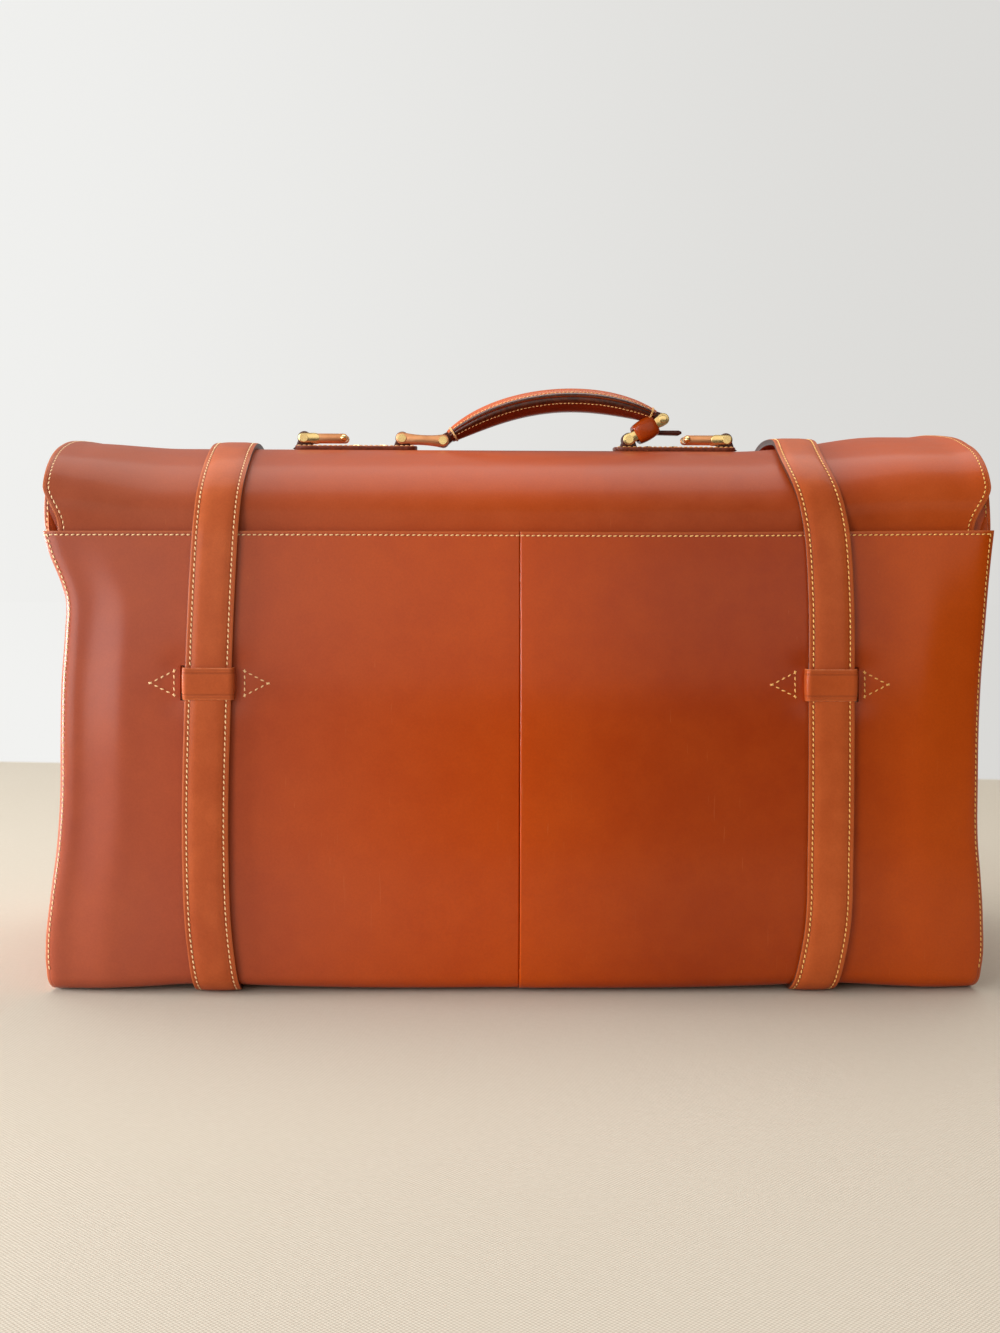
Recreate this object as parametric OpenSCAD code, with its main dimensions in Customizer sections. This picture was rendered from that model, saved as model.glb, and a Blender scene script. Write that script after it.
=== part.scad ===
// Leather weekender bag with a back-hinged flap, two long straps and a folding handle.
// X runs along the bag, -Y is the back with the centre seam, +Y the front, Z is up.
// The origin is at the middle of the footprint, at the underside of the straps.

/* [Body] */
// Width across the back seam
top_w = 600; // [570:1:640]
// Width at the waist of the sides
waist_w = 578; // [556:1:600]
// Width at the base
base_w = 591; // [564:1:620]
// Depth at the base
base_d = 235; // [215:1:250]
// Depth at the back seam
seam_d = 206; // [196:1:216]
// Height of the back seam above the table
seam_z = 287; // [270:1:310]
// How far the back bulges at half height
back_bulge = 5; // [2:0.5:7]
// How far the front bulges at half height
front_bulge = 3; // [1:0.5:4]
// Height below which the sides flare to the base
low_z = 120; // [90:1:130]
// Height above which the sides flare to the seam
high_z = 236; // [210:1:250]
// Radius of the turned bottom edges
edge_r = 10; // [9:0.5:14]
// Width of the sewn edge outside each gusset
seam_allowance = 8; // [6:0.5:10]
// Height of the back yoke above the seam
yoke_rise = 27; // [20:1:32]
// Height of the front panel above the seam level
front_rise = 11; // [6:1:13]
// Height of the leather facing inside the top of the front
facing_h = 30; // [20:1:40]
// Width of the strip behind the centre seam
backing_w = 16; // [10:1:24]
// How far the yoke reaches down behind the back
yoke_lap = 25; // [18:1:32]
// Width of each wing of the yoke
wing_w = 22; // [16:1:24]
// Height of the yoke above the seam between its wings
yoke_low_rise = 4; // [2:0.5:6]

/* [Leather] */
// Thickness of the outer leather
leather_t = 3; // [2.5:0.1:3.4]
// Thickness of the gusset leather
gusset_t = 2.5; // [2:0.1:3]
// Thickness of the interlining
interlining_t = 2.2; // [1.5:0.1:2.2]
// Thickness of the cloth lining
lining_t = 0.8; // [0.5:0.1:1]
// Thickness of the base board
board_t = 2.2; // [1.5:0.1:2.4]

/* [Flap] */
// Height of the crown above the seam
flap_rise = 59; // [52:1:64]
// Length of each end of the flap that stands squarer and higher than the middle
end_reach = 75; // [50:1:80]
// Height of those ends above the seam
end_rise = 62; // [58:1:68]
// How square the section is at the ends, from 2 for an even arch upward
end_power = 3; // [2:0.1:3.5]
// How far the outside of the front lip stands out from the front at the seam level
lip_out = 12; // [12:0.5:18]
// Drop of the lip below the seam level
lip_drop = 37; // [30:1:44]
// Radius of the corners of the lip
lip_corner_r = 30; // [20:1:40]
// How far the ears draw in at the seam
ear_in = 13; // [6:1:20]
// Height over which the ears draw in
ear_h = 18; // [12:1:24]

/* [Straps] */
// Distance of each strap from the centre
strap_x = 194; // [180:1:215]
// Width of a strap
strap_w = 30; // [24:1:36]
// Thickness of a strap
strap_t = 4; // [3.2:0.1:4.4]
// Height of the middle of a rear keeper
keeper_z = 193; // [150:1:220]
// Height of the keeper band
keeper_h = 20; // [14:1:24]
// Thickness of the keeper leather
keeper_t = 1.6; // [1.2:0.1:2]
// Length of a keeper's sewn tab past the strap
tab_len = 30; // [22:1:34]
// Length of the pointed tip of a front strap
tip_len = 16; // [12:1:20]
// Height of the tip of a front strap
tip_z = 268; // [258:1:272]
// Radius of a strap hole
hole_r = 2.2; // [1.8:0.1:2.6]
// Spacing of the strap holes
hole_pitch = 24; // [18:1:26]
// Number of strap holes
hole_count = 5; // [3:1:6]
// Distance of the first strap hole from the tip
first_hole = 26; // [24:1:32]

/* [Buckles] */
// Width inside a buckle frame
buckle_in_w = 32; // [31:0.5:34]
// Length of a buckle frame between its bars
buckle_len = 30; // [26:1:32]
// Radius of the buckle bars
buckle_r = 1.75; // [1.5:0.05:1.9]
// Width of a prong
prong_w = 4; // [3:0.1:4.4]
// How far the buckle bar hangs below the lip
buckle_drop = 8; // [7:0.5:10]
// Height of the fixed loop above each buckle
fixed_loop_h = 12; // [9:1:14]
// Distance of the middle of the fixed loop below the seam level
fixed_loop_drop = 12; // [8:1:16]

/* [Handle] */
// Distance of the inner handle pins from the centre
link_x = 78; // [74:1:82]
// Distance of the outer shackle pins from the centre
shackle_x = 145; // [142:1:158]
// Width of a handle base
base_strip_w = 26; // [22:1:30]
// Thickness of a handle base
base_strip_t = 2.6; // [2:0.1:3]
// Radius of the brass pins
pin_r = 1.9; // [1.6:0.05:2.1]
// Running clearance of the brass pins
pin_gap = 0.06; // [0.03:0.01:0.09]
// Radius of the leather loops and of the rounded ends of the plates
boss_r = 4.2; // [3.9:0.1:4.6]
// Width of the leather loops
loop_w = 12; // [10:0.5:14]
// Thickness of the brass plates
plate_t = 2; // [1.6:0.1:2.4]
// Distance between the pins of the left link
link_len = 28; // [26:0.5:30]
// Distance between the pins of the right link
right_link_len = 27; // [25:0.5:29]
// Fall of the left link towards the handle, in degrees
left_link_fall = 3; // [1:0.5:4]
// Rise of the right link away from the handle, in degrees
right_link_rise = 30.8; // [28:0.2:34]
// Rise of the handle from its left pin to its right pin, in degrees
handle_rise = 5.8; // [4:0.1:7]
// Distance between the pins of the handle
handle_chord = 152; // [150:1:154]
// Rise of the arc of the handle
handle_sagitta = 20; // [16:1:24]
// Height of the handle at its middle
grip_h = 16; // [13:0.5:18]
// Width of the handle at its middle, with its sewn edges
grip_w = 30; // [26:1:34]
// Thickness of the handle covers
cover_t = 1.6; // [1.2:0.1:2]
// Length of a shackle from its pin to its crossbar
shackle_len = 27; // [23:0.5:29]

/* [Clearances] */
// Gap between leather layers on the same body
layer_gap = 0.2; // [0.1:0.05:0.3]
// Gap between the flap and the body at the seam
seam_gap = 0.3; // [0.2:0.05:0.5]
// Gap between brass plates and the leather between them
side_gap = 0.4; // [0.3:0.05:0.6]

/* [Hidden] */
$fn = 48;

lip_y = seam_d / 2 + lip_out;
panel_z = strap_t + layer_gap;
edge_z = panel_z + edge_r;
corner_r = seam_allowance;
face_steps = 12;
crown_z = seam_z + flap_rise;
end_from = top_w / 2 - end_reach;
end_steps = 5;
end_foot_a = 12;
end_tilt = 0.1;
yoke_z = seam_z + yoke_rise;
front_z = seam_z + front_rise;
yoke_t = gusset_t;
facing_t = keeper_t;
backing_t = 1.4;
plate_sheet_t = 1.2;
slip = 0.4;
inner_o = -leather_t - layer_gap;
rivet_tail_t = 0.3;
lining_o = leather_t + plate_sheet_t + rivet_tail_t + 3 * layer_gap;
flap_stack = lining_o + lining_t;
pin_clear = 1;
pin_fit = 0.02;
rivet_head_t = 0.9;
head_t = 0.8;
head_lip = 0.9;
yoke_out = flap_stack + seam_gap;
pin_z = crown_z + base_strip_t + boss_r + layer_gap + pin_clear;
plate_y = loop_w / 2 + side_gap;
link_w = 2 * (plate_y + plate_t);
cloth_in = seam_allowance + gusset_t + layer_gap;
left_pin = [-link_x + link_len * cos(left_link_fall), pin_z - link_len * sin(left_link_fall)];
grip_r = pow(handle_chord, 2) / (8 * handle_sagitta) + handle_sagitta / 2;
grip_end_a = asin(handle_chord / 2 / grip_r);
cover_a = grip_end_a - 4.6;
core_a = cover_a - 3;
buckle_z = seam_z - lip_drop - buckle_drop;
buckle_y = lip_y + layer_gap + strap_t / 2;
fold_r = strap_t / 2 + 1.6;

tan_leather = [0.72, 0.36, 0.17];
strap_leather = [0.76, 0.42, 0.24];
dark_leather = [0.45, 0.18, 0.09];
cloth = [0.62, 0.52, 0.38];
board_grey = [0.45, 0.42, 0.38];
brass = [0.86, 0.68, 0.34];
thread = [0.93, 0.74, 0.4];

// Eased value from a to b as t goes from 0 to 1
function ease(a, b, t) = let(u = max(0, min(1, t))) a + (b - a) * (1 - cos(180 * u)) / 2;

// Half width of the bag at height z, drawn in at the waist
function half_w(z) =
    z < low_z ? ease(base_w, waist_w, z / low_z) / 2
    : ease(waist_w, top_w, (z - high_z) / (seam_z - high_z)) / 2;

// Half depth of the bag at height z, and its slope
function half_d(z, bulge) =
    (base_d - (base_d - seam_d) * z / seam_z) / 2 + bulge * sin(180 * z / seam_z);
function slope_d(z, bulge) = (half_d(z + 1, bulge) - half_d(z - 1, bulge)) / 2;

// Points [distance from the middle, height] along a face, o outside the leather
function face_pt(z, bulge, o) = [half_d(z, bulge) + o * norm([1, slope_d(z, bulge)]), z];
function face_pts(z0, z1, bulge, o) =
    [for (i = [0:face_steps]) face_pt(z0 + (z1 - z0) * i / face_steps, bulge, o)];
function edge_pts(bulge, o) =
    let(cy = half_d(edge_z, bulge) - edge_r)
    [for (a = [-90:18:0]) [cy + (edge_r + o) * cos(a), edge_z + (edge_r + o) * sin(a)]];
function flip(points) = [for (i = [len(points) - 1:-1:0]) points[i]];
function mirrored(points) = [for (p = points) [-p[0], p[1]]];

// Closed outlines of a sheet between two offsets, without and with its turned bottom edge
function strip(z0, z1, bulge, o0, o1) =
    concat(face_pts(z0, z1, bulge, o1), flip(face_pts(z0, z1, bulge, o0)));
function sheet_line(z1, bulge, o) =
    concat(edge_pts(bulge, o), [for (i = [1:face_steps])
        face_pt(edge_z + (z1 - edge_z) * i / face_steps, bulge, o)]);
function sheet(z1, bulge, o0, o1) =
    concat(sheet_line(z1, bulge, o1), flip(sheet_line(z1, bulge, o0)));

// Arch of the flap: angle 0 is at the back seam, 90 at the crown, 180 at the front
function arch_y(t) = t < 90 ? seam_d / 2 : lip_y;
function arch_pt(t, o) =
    let(a = arch_y(t), b = flap_rise, n = norm([cos(t) / a, sin(t) / b]))
    [-a * cos(t) - o * cos(t) / a / n, seam_z + b * sin(t) + o * sin(t) / b / n];
function arch_pts(t0, t1, o, x = 0) =
    let(n = ceil((t1 - t0) / 7.5))
    [for (i = [0:n]) let(t = t0 + (t1 - t0) * i / n) arch_pt(t, o) + end_lift(t, x)];
function arch_band(t0, t1, o0, o1, x = 0) =
    concat(arch_pts(t0, t1, o1, x), flip(arch_pts(t0, t1, o0, x)));

// How far a section at x stands outside the even arch, held up by the gussets near the ends
function end_lift(t, x) =
    let(share = ease(0, 1, (abs(x) - end_from) / end_reach) * ease(0, 1, t / end_foot_a),
        e = 2 / end_power, y = -arch_y(t) * sign(cos(t)) * pow(abs(cos(t)), e),
        rise = end_rise * pow(max(0, sin(t)), e) + end_tilt * max(0, y + seam_d / 4) * sin(t))
    share * [y + arch_y(t) * cos(t), rise - flap_rise * sin(t)];
function stations(half) =
    let(end = [for (i = [0:end_steps]) end_from + (half - end_from) * i / end_steps])
    concat([for (i = [end_steps:-1:0]) -end[i]], end);
function upright(x, section) = [for (p = section) [x, p[0], p[1]]];
flap_t0 = asin(seam_gap / flap_rise);

// Outline of the bag seen from the back, drawn in by inset
function corner_in(z) =
    let(h = z - panel_z) h < corner_r ? corner_r - sqrt(pow(corner_r, 2) - pow(corner_r - h, 2)) : 0;
function outline_z(z1) = concat(
    [for (a = [0:30:60]) panel_z + corner_r * (1 - cos(a))],
    [for (i = [0:18]) panel_z + corner_r + (z1 - panel_z - corner_r) * i / 18]);
function outline_side(z1, inset, rounded) =
    [for (z = outline_z(z1)) [half_w(z) - inset - (rounded ? corner_in(z) : 0), z]];
function outline(z1, inset, rounded = true) =
    let(right = outline_side(z1, inset, rounded)) concat(right, flip(mirrored(right)));

// Prisms along X and along Y
module along_x(x0, x1) translate([x0, 0, 0]) rotate([90, 0, 90]) linear_extrude(x1 - x0) children();
module along_y(y0, y1) translate([0, y1, 0]) rotate([90, 0, 0]) linear_extrude(y1 - y0) children();
module both_x(side) { if (side < 0) mirror([1, 0, 0]) children(); else children(); }

// Rod along Y about a point of the XZ plane
module rod_y(x, z, r, y0, y1) translate([x, y1, z]) rotate([90, 0, 0]) cylinder(r = r, h = y1 - y0);
module rod_x(y, z, r, x0, x1) translate([x0, y, z]) rotate([0, 90, 0]) cylinder(r = r, h = x1 - x0);

// Half of the back, with its two keeper slots
slot_w = keeper_t + 0.6;
slot_x = strap_w / 2 + layer_gap;
module keeper_slots() {
    for (s = [-1, 1])
        translate([strap_x + s * (slot_x + slot_w / 2) - slot_w / 2, -base_d, keeper_z - keeper_h / 2 - 0.3])
            cube([slot_w, base_d, keeper_h + 0.6]);
}

module back_panel(side) {
    color(tan_leather) both_x(side) difference() {
        intersection() {
            along_x(0, top_w) polygon(mirrored(sheet(seam_z, back_bulge, -leather_t, 0)));
            along_y(-base_d, 0) polygon(outline(seam_z, 0));
        }
        keeper_slots();
    }
}

module seam_backing() {
    color(dark_leather) along_x(-backing_w / 2, backing_w / 2)
        polygon(mirrored(strip(edge_z, seam_z - yoke_lap - slip, back_bulge, inner_o - backing_t, inner_o)));
}

module front_panel() {
    color(tan_leather) intersection() {
        along_x(-top_w, top_w) polygon(sheet(front_z, front_bulge, -leather_t, 0));
        along_y(0, base_d) polygon(outline(front_z, 0));
    }
}

// Leather facing inside the top edge of the front, between the gussets
module front_facing() {
    color(strap_leather) intersection() {
        along_x(-top_w, top_w)
            polygon(strip(front_z - facing_h, front_z, front_bulge, inner_o - facing_t, inner_o));
        along_y(0, base_d) polygon(outline(front_z, cloth_in + lining_t));
    }
}

module base_panel() {
    half = half_d(edge_z, back_bulge) - edge_r;
    half_front = half_d(edge_z, front_bulge) - edge_r;
    color(tan_leather) intersection() {
        translate([-base_w / 2, -half, panel_z]) cube([base_w, half + half_front, leather_t]);
        along_y(-base_d, base_d) polygon(outline(seam_z, 0));
    }
}

// Strip inside the flap, sewn behind the top edge of the back, with taller wings at its ends
yoke_a = asin(yoke_rise / flap_rise);
module yoke_sheet(rise_a) {
    low = seam_z - yoke_lap;
    foot = face_pts(low, seam_z - seam_gap, back_bulge, inner_o);
    foot_in = face_pts(low, seam_z - seam_gap, back_bulge, -yoke_out - yoke_t);
    along_x(-top_w, top_w) polygon(concat(mirrored(foot), arch_pts(flap_t0, rise_a, -yoke_out),
        flip(arch_pts(flap_t0, rise_a, -yoke_out - yoke_t)), flip(mirrored(foot_in))));
}

module back_yoke() {
    half = top_w / 2 - wing_w - layer_gap;
    color(tan_leather) intersection() {
        yoke_sheet(asin(yoke_low_rise / flap_rise));
        along_y(-base_d, 0) translate([-half, 0]) square([2 * half, 2 * seam_z]);
    }
}

module yoke_wing(side) {
    color(tan_leather) both_x(side) intersection() {
        yoke_sheet(yoke_a);
        along_y(-base_d, 0) intersection() {
            polygon(outline(yoke_z + 3, 0));
            translate([top_w / 2 - wing_w, 0]) square([wing_w, 2 * seam_z]);
        }
    }
}

// Side of the bag: a wall between the front and the back, with flanges turned out along both
gusset_in = yoke_out + yoke_t;
module gusset(side) {
    low = seam_z - yoke_lap - layer_gap;
    back = mirrored(flip(sheet_line(low, back_bulge, inner_o)));
    front = sheet_line(front_z, front_bulge, inner_o);
    yoke = mirrored(face_pts(low, seam_z, back_bulge, -gusset_in));
    wall = concat(front, flip(arch_pts(flap_t0, yoke_a, -gusset_in)), flip(yoke), back);
    color(tan_leather) both_x(side) {
        intersection() {
            along_x(0, top_w) polygon(wall);
            along_y(-base_d, base_d) difference() {
                polygon(outline(yoke_z, seam_allowance, false));
                translate([0, -1]) polygon(outline(yoke_z + 3, seam_allowance + gusset_t, false));
                translate([-top_w, 0]) square([top_w, 2 * seam_z]);
            }
        }
        for (rear = [0, 1]) mirror([0, rear, 0]) intersection() {
            along_x(0, top_w) polygon(sheet(rear == 1 ? low : front_z,
                rear == 1 ? back_bulge : front_bulge, inner_o - gusset_t, inner_o));
            along_y(0, base_d) difference() {
                polygon(outline(front_z, 0));
                translate([0, -2]) polygon(outline(front_z + 6, seam_allowance + gusset_t / 2, false));
                translate([-top_w, 0]) square([top_w, 2 * seam_z]);
            }
        }
    }
}

module base_board() {
    half = half_d(edge_z, front_bulge) - edge_r;
    length = base_w - 2 * (cloth_in + slip);
    color(board_grey) translate([-length / 2, -half, panel_z + leather_t])
        cube([length, 2 * half, board_t]);
}

module keeper_tab_room() {
    for (s = [-1, 1])
        translate([s * strap_x - strap_w / 2 - tab_len - 4, -base_d, keeper_z - keeper_h / 2 - 6])
            cube([strap_w + 2 * tab_len + 8, base_d, keeper_h + 12]);
}

module back_interlining() {
    color(board_grey) difference() {
        intersection() {
            along_x(-top_w, top_w) polygon(mirrored(strip(edge_z, seam_z - yoke_lap - slip,
                back_bulge, inner_o - interlining_t, inner_o)));
            along_y(-base_d, 0) polygon(outline(seam_z, cloth_in, false));
        }
        translate([-backing_w / 2 - slip, -base_d, 0]) cube([backing_w + 2 * slip, base_d, seam_z]);
        keeper_tab_room();
    }
}

module front_interlining() {
    color(board_grey) intersection() {
        along_x(-top_w, top_w) polygon(strip(edge_z, front_z - facing_h - slip, front_bulge,
            inner_o - interlining_t, inner_o));
        along_y(0, base_d) polygon(outline(seam_z, cloth_in, false));
    }
}

// Cloth bag inside the interlinings and the gussets
cloth_o = gusset_t + layer_gap - inner_o;
function cloth_profile(o, low) =
    let(back_z = seam_z - yoke_lap - slip, front_top = front_z - facing_h - slip, start = low + 4)
    concat(face_pts(start, front_top, front_bulge, -o),
        mirrored(flip(face_pts(start, back_z, back_bulge, -o))),
        [[-half_d(start, back_bulge) + o + 3, low], [half_d(start, front_bulge) - o - 3, low]]);
module body_lining() {
    low = panel_z + leather_t + board_t;
    color(cloth) difference() {
        intersection() {
            along_x(-top_w, top_w) polygon(cloth_profile(cloth_o, low));
            along_y(-base_d, base_d) polygon(outline(seam_z, cloth_in, false));
        }
        intersection() {
            along_x(-top_w, top_w) polygon(cloth_profile(cloth_o + lining_t, low + lining_t));
            along_y(-base_d, base_d) polygon(outline(seam_z + 1, cloth_in + lining_t, false));
        }
        translate([-top_w / 2, -base_d / 2, seam_z - yoke_lap - 8]) cube([top_w, base_d, top_w]);
    }
}

// Loop over the rear strap, through the slots, with pointed tabs behind the panel
module rear_keeper(side) {
    z0 = keeper_z - keeper_h / 2;
    z1 = keeper_z + keeper_h / 2;
    over = strap_t + 2 * layer_gap;
    leg_x = slot_x + 0.2;
    band_x = leg_x + keeper_t;
    tab = tab_len + strap_w / 2;
    color(strap_leather) both_x(side) translate([strap_x, 0, 0]) {
        along_x(-band_x, band_x) polygon(mirrored(strip(z0, z1, back_bulge, over, over + keeper_t)));
        for (s = [0, 1]) mirror([s, 0, 0]) {
            along_x(leg_x, band_x) polygon(mirrored(strip(z0, z1, back_bulge,
                -leather_t - 0.1 - keeper_t, over + keeper_t)));
            intersection() {
                along_x(leg_x, tab + 1) polygon(mirrored(strip(z0 - 5, z1 + 5, back_bulge,
                    -leather_t - 0.1 - keeper_t, -leather_t - 0.1)));
                along_y(-base_d, 0) polygon([[leg_x, z0], [leg_x + 4, z0 - 4], [tab, keeper_z - 2],
                    [tab, keeper_z + 2], [leg_x + 4, z1 + 4], [leg_x, z1]]);
            }
        }
    }
}

module strap_rear(side) {
    color(strap_leather) both_x(side) along_x(strap_x - strap_w / 2, strap_x + strap_w / 2)
        polygon(mirrored(strip(edge_z, seam_z - seam_gap, back_bulge, layer_gap, layer_gap + strap_t)));
}

module strap_base(side) {
    function line(o) = concat(mirrored(flip(edge_pts(back_bulge, o))), edge_pts(front_bulge, o));
    color(strap_leather) both_x(side) along_x(strap_x - strap_w / 2, strap_x + strap_w / 2)
        polygon(concat(line(layer_gap + strap_t), flip(line(layer_gap))));
}

// Front run of a strap, with its pointed tip behind the lip and its holes
module strap_front(side) {
    w = strap_w / 2;
    color(strap_leather) both_x(side) translate([strap_x, 0, 0]) difference() {
        intersection() {
            along_x(-w, w) polygon(strip(edge_z, tip_z, front_bulge, layer_gap, layer_gap + strap_t));
            along_y(0, base_d) polygon([[-w, 0], [w, 0], [w, tip_z - tip_len], [3, tip_z],
                [-3, tip_z], [-w, tip_z - tip_len]]);
        }
        for (i = [0:hole_count - 1]) rod_y(0, tip_z - first_hole - i * hole_pitch, hole_r, 0, base_d);
    }
}

// Flap: an arch from the back seam to the lip, with ears drawn in at the seam
module flap() {
    end = top_w / 2;
    low = seam_z - lip_drop;
    r = lip_corner_r;
    function line(o, x) =
        concat(arch_pts(flap_t0, 180, o, x), [for (z = [seam_z - lip_drop / 2, low - 1]) [lip_y + o, z]]);
    top = [[end, 2 * seam_z]];
    ear = concat([[end - ear_in, seam_z - 1], [end - ear_in * 0.75, seam_z + ear_h * 0.4],
        [end, seam_z + ear_h]], top);
    corner = concat([for (a = [-90:7.5:0]) [end - r + r * cos(a), low + r + r * sin(a)]], top);
    color(tan_leather) difference() {
        intersection() {
            loft([for (x = stations(end + 1)) upright(x, concat(line(-leather_t, x), flip(line(0, x))))]);
            union() {
                along_y(-base_d, -seam_d / 4) polygon(concat(ear, flip(mirrored(ear))));
                along_y(-seam_d / 4, base_d) polygon(concat(corner, flip(mirrored(corner))));
            }
        }
        rivet_holes();
    }
}

// Cloth inside the crown, from behind the seam to above the lip
module flap_lining() {
    half = top_w / 2 - seam_allowance - 6;
    color(cloth) loft([for (x = stations(half))
        upright(x, flip(arch_band(20, 160, -flap_stack, -lining_o, x)))]);
}

// Strap over the flap, folded round the bar of its buckle, with a slot for the prong
module strap_top(side) {
    function line(o) = concat(arch_pts(flap_t0, 180, o), [[lip_y + o, buckle_z]]);
    w = strap_w / 2;
    color(strap_leather) both_x(side) translate([strap_x, 0, 0]) difference() {
        union() {
            along_x(-w, w) polygon(concat(line(layer_gap + strap_t), flip(line(layer_gap))));
            rod_x(buckle_y, buckle_z, fold_r, -w, w);
        }
        rod_x(buckle_y, buckle_z, buckle_r + pin_gap, -top_w, top_w);
        translate([-prong_w / 2 - 1, lip_y - 10, buckle_z - 12]) cube([prong_w + 2, 30, 24]);
    }
}

// Fixed loop on the strap above the buckle, which holds the strap's tip when it is done up
module buckle_keeper(side) {
    z = seam_z - fixed_loop_drop;
    h = fixed_loop_h;
    in_t = strap_t + 5 * layer_gap;
    in_w = strap_w / 2 + layer_gap;
    y = lip_y + layer_gap;
    color(strap_leather) both_x(side) translate([strap_x, 0, z - h / 2]) linear_extrude(h) difference() {
        translate([-in_w - keeper_t, y]) square([2 * (in_w + keeper_t), in_t + keeper_t]);
        translate([-in_w, y - 1]) square([2 * in_w, in_t + 1]);
    }
}

// Buckle frame: upper bar in the strap's fold, two sides and a lower bar
module buckle(side) {
    x = buckle_in_w / 2 + buckle_r;
    color(brass) both_x(side) translate([strap_x, 0, 0]) {
        rod_x(buckle_y, buckle_z, buckle_r, -x, x);
        rod_x(buckle_y, buckle_z - buckle_len, buckle_r, -x, x);
        for (s = [-1, 1]) translate([s * x, buckle_y, buckle_z - buckle_len / 2])
            cube([2 * buckle_r, 2 * buckle_r, buckle_len + 2 * buckle_r], center = true);
    }
}

// Prong: an eye round the upper bar and a tongue that lies on the lower bar
module prong(side) {
    eye = buckle_r + pin_gap;
    out = buckle_y + buckle_r + layer_gap;
    color(brass) both_x(side) translate([strap_x, 0, 0]) difference() {
        union() {
            rod_x(buckle_y, buckle_z, eye + 1.4, -prong_w / 2, prong_w / 2);
            translate([-prong_w / 2, out, buckle_z - buckle_len - 3]) cube([prong_w, 1.6, buckle_len + 3]);
        }
        rod_x(buckle_y, buckle_z, eye, -prong_w, prong_w);
    }
}

// Rounded bar in the XZ plane from the origin along +X
function pill(len, r) = concat(
    [for (a = [90:15:270]) [r * cos(a), r * sin(a)]],
    [for (a = [-90:15:90]) [len + r * cos(a), r * sin(a)]]);

rivet_x = [link_x + 14, shackle_x - 35];
rivet_r = 1.8;
module rivet_holes() {
    for (s = [-1, 1], x = rivet_x) translate([s * x, 0, crown_z - 20]) cylinder(r = rivet_r + 0.05, h = 40);
}

// Leather strip on the crown with a loop at each pin
base_a = acos(base_strip_w / 2 / lip_y);
module handle_base(side) {
    inner_x = link_x - boss_r - 5.8;
    outer_x = shackle_x + boss_r + 1.8;
    foot_z = crown_z + layer_gap + base_strip_t / 5;
    color(strap_leather) both_x(side) difference() {
        union() {
            along_x(inner_x, outer_x)
                polygon(arch_band(base_a, 180 - base_a, layer_gap, layer_gap + base_strip_t));
            for (x = [link_x, shackle_x]) {
                rod_y(x, pin_z, boss_r, -loop_w / 2, loop_w / 2);
                translate([x - boss_r, -loop_w / 2, foot_z]) cube([2 * boss_r, loop_w, pin_z - foot_z]);
            }
        }
        for (x = [link_x, shackle_x]) rod_y(x, pin_z, pin_r + pin_fit, -base_d, base_d);
        rivet_holes();
    }
}

module backing_plate(side) {
    color(brass) both_x(side) difference() {
        along_x(link_x - 6, shackle_x + 2)
            polygon(arch_band(base_a + 1, 179 - base_a, inner_o - plate_sheet_t, inner_o));
        rivet_holes();
    }
}

module base_rivets() {
    top = crown_z + layer_gap + base_strip_t;
    low = crown_z + inner_o - plate_sheet_t;
    color(brass) for (s = [-1, 1], x = rivet_x) translate([s * x, 0, 0]) {
        translate([0, 0, low - rivet_tail_t]) cylinder(r = rivet_r, h = top - low + 2 * rivet_tail_t);
        translate([0, 0, top + 0.05]) cylinder(r1 = rivet_r + 1.4, r2 = rivet_r + 0.4, h = rivet_head_t);
        translate([0, 0, low - rivet_tail_t - 0.05]) cylinder(r = rivet_r + 1, h = rivet_tail_t);
    }
}

// Pins held in the loops of the handle bases, with their heads outside the plates
head_y = plate_y + plate_t + 0.2;
module headed_pin(x, z) {
    rod_y(x, z, pin_r, -head_y - head_t, head_y + head_t);
    for (s = [0, 1]) mirror([0, s, 0]) rod_y(x, z, pin_r + head_lip, head_y, head_y + head_t);
}
module base_pins() {
    color(brass) for (s = [-1, 1], x = [link_x, shackle_x]) headed_pin(s * x, pin_z);
}

// Pair of plates with a bore at each pin
module link_plates(len) {
    for (s = [0, 1]) mirror([0, s, 0]) difference() {
        along_y(plate_y, plate_y + plate_t) polygon(pill(len, boss_r));
        for (x = [0, len]) rod_y(x, 0, pin_r + pin_gap, 0, 30);
    }
}

module link_left() {
    color(brass) translate([-link_x, 0, pin_z]) rotate([0, left_link_fall, 0]) link_plates(link_len);
}

// The far ends of the right plates carry rivet heads: the handle's pin ends between the plates
module link_right() {
    color(brass) translate([link_x, 0, pin_z]) rotate([0, -right_link_rise, 0])
        for (s = [0, 1]) mirror([0, s, 0]) {
            difference() {
                along_y(plate_y, plate_y + plate_t) polygon(pill(right_link_len, boss_r));
                rod_y(0, 0, pin_r + pin_gap, 0, 30);
            }
            rod_y(right_link_len, 0, pin_r + head_lip, plate_y + plate_t, head_y + head_t);
        }
}

// Leather band round the right link, with a short tail that lies away from the handle
module tag_strap() {
    in_y = link_w / 2 + layer_gap;
    in_z = boss_r + layer_gap;
    wall = 1.9;
    band_x = 6;
    band_w = 14;
    tail_w = 8;
    tail_len = 17;
    color(dark_leather) translate([link_x, 0, pin_z]) rotate([0, -right_link_rise, 0]) {
        difference() {
            translate([band_x, -in_y - wall, -in_z - wall])
                cube([band_w, 2 * (in_y + wall), 2 * (in_z + wall)]);
            translate([band_x - 1, -in_y, -in_z]) cube([band_w + 2, 2 * in_y, 2 * in_z]);
        }
        translate([band_x + band_w - 1, 0, -in_z - wall]) rotate([0, right_link_rise, 0])
            translate([-2, -tail_w / 2, 0]) cube([tail_len + 2, tail_w, 2.6]);
    }
}

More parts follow.
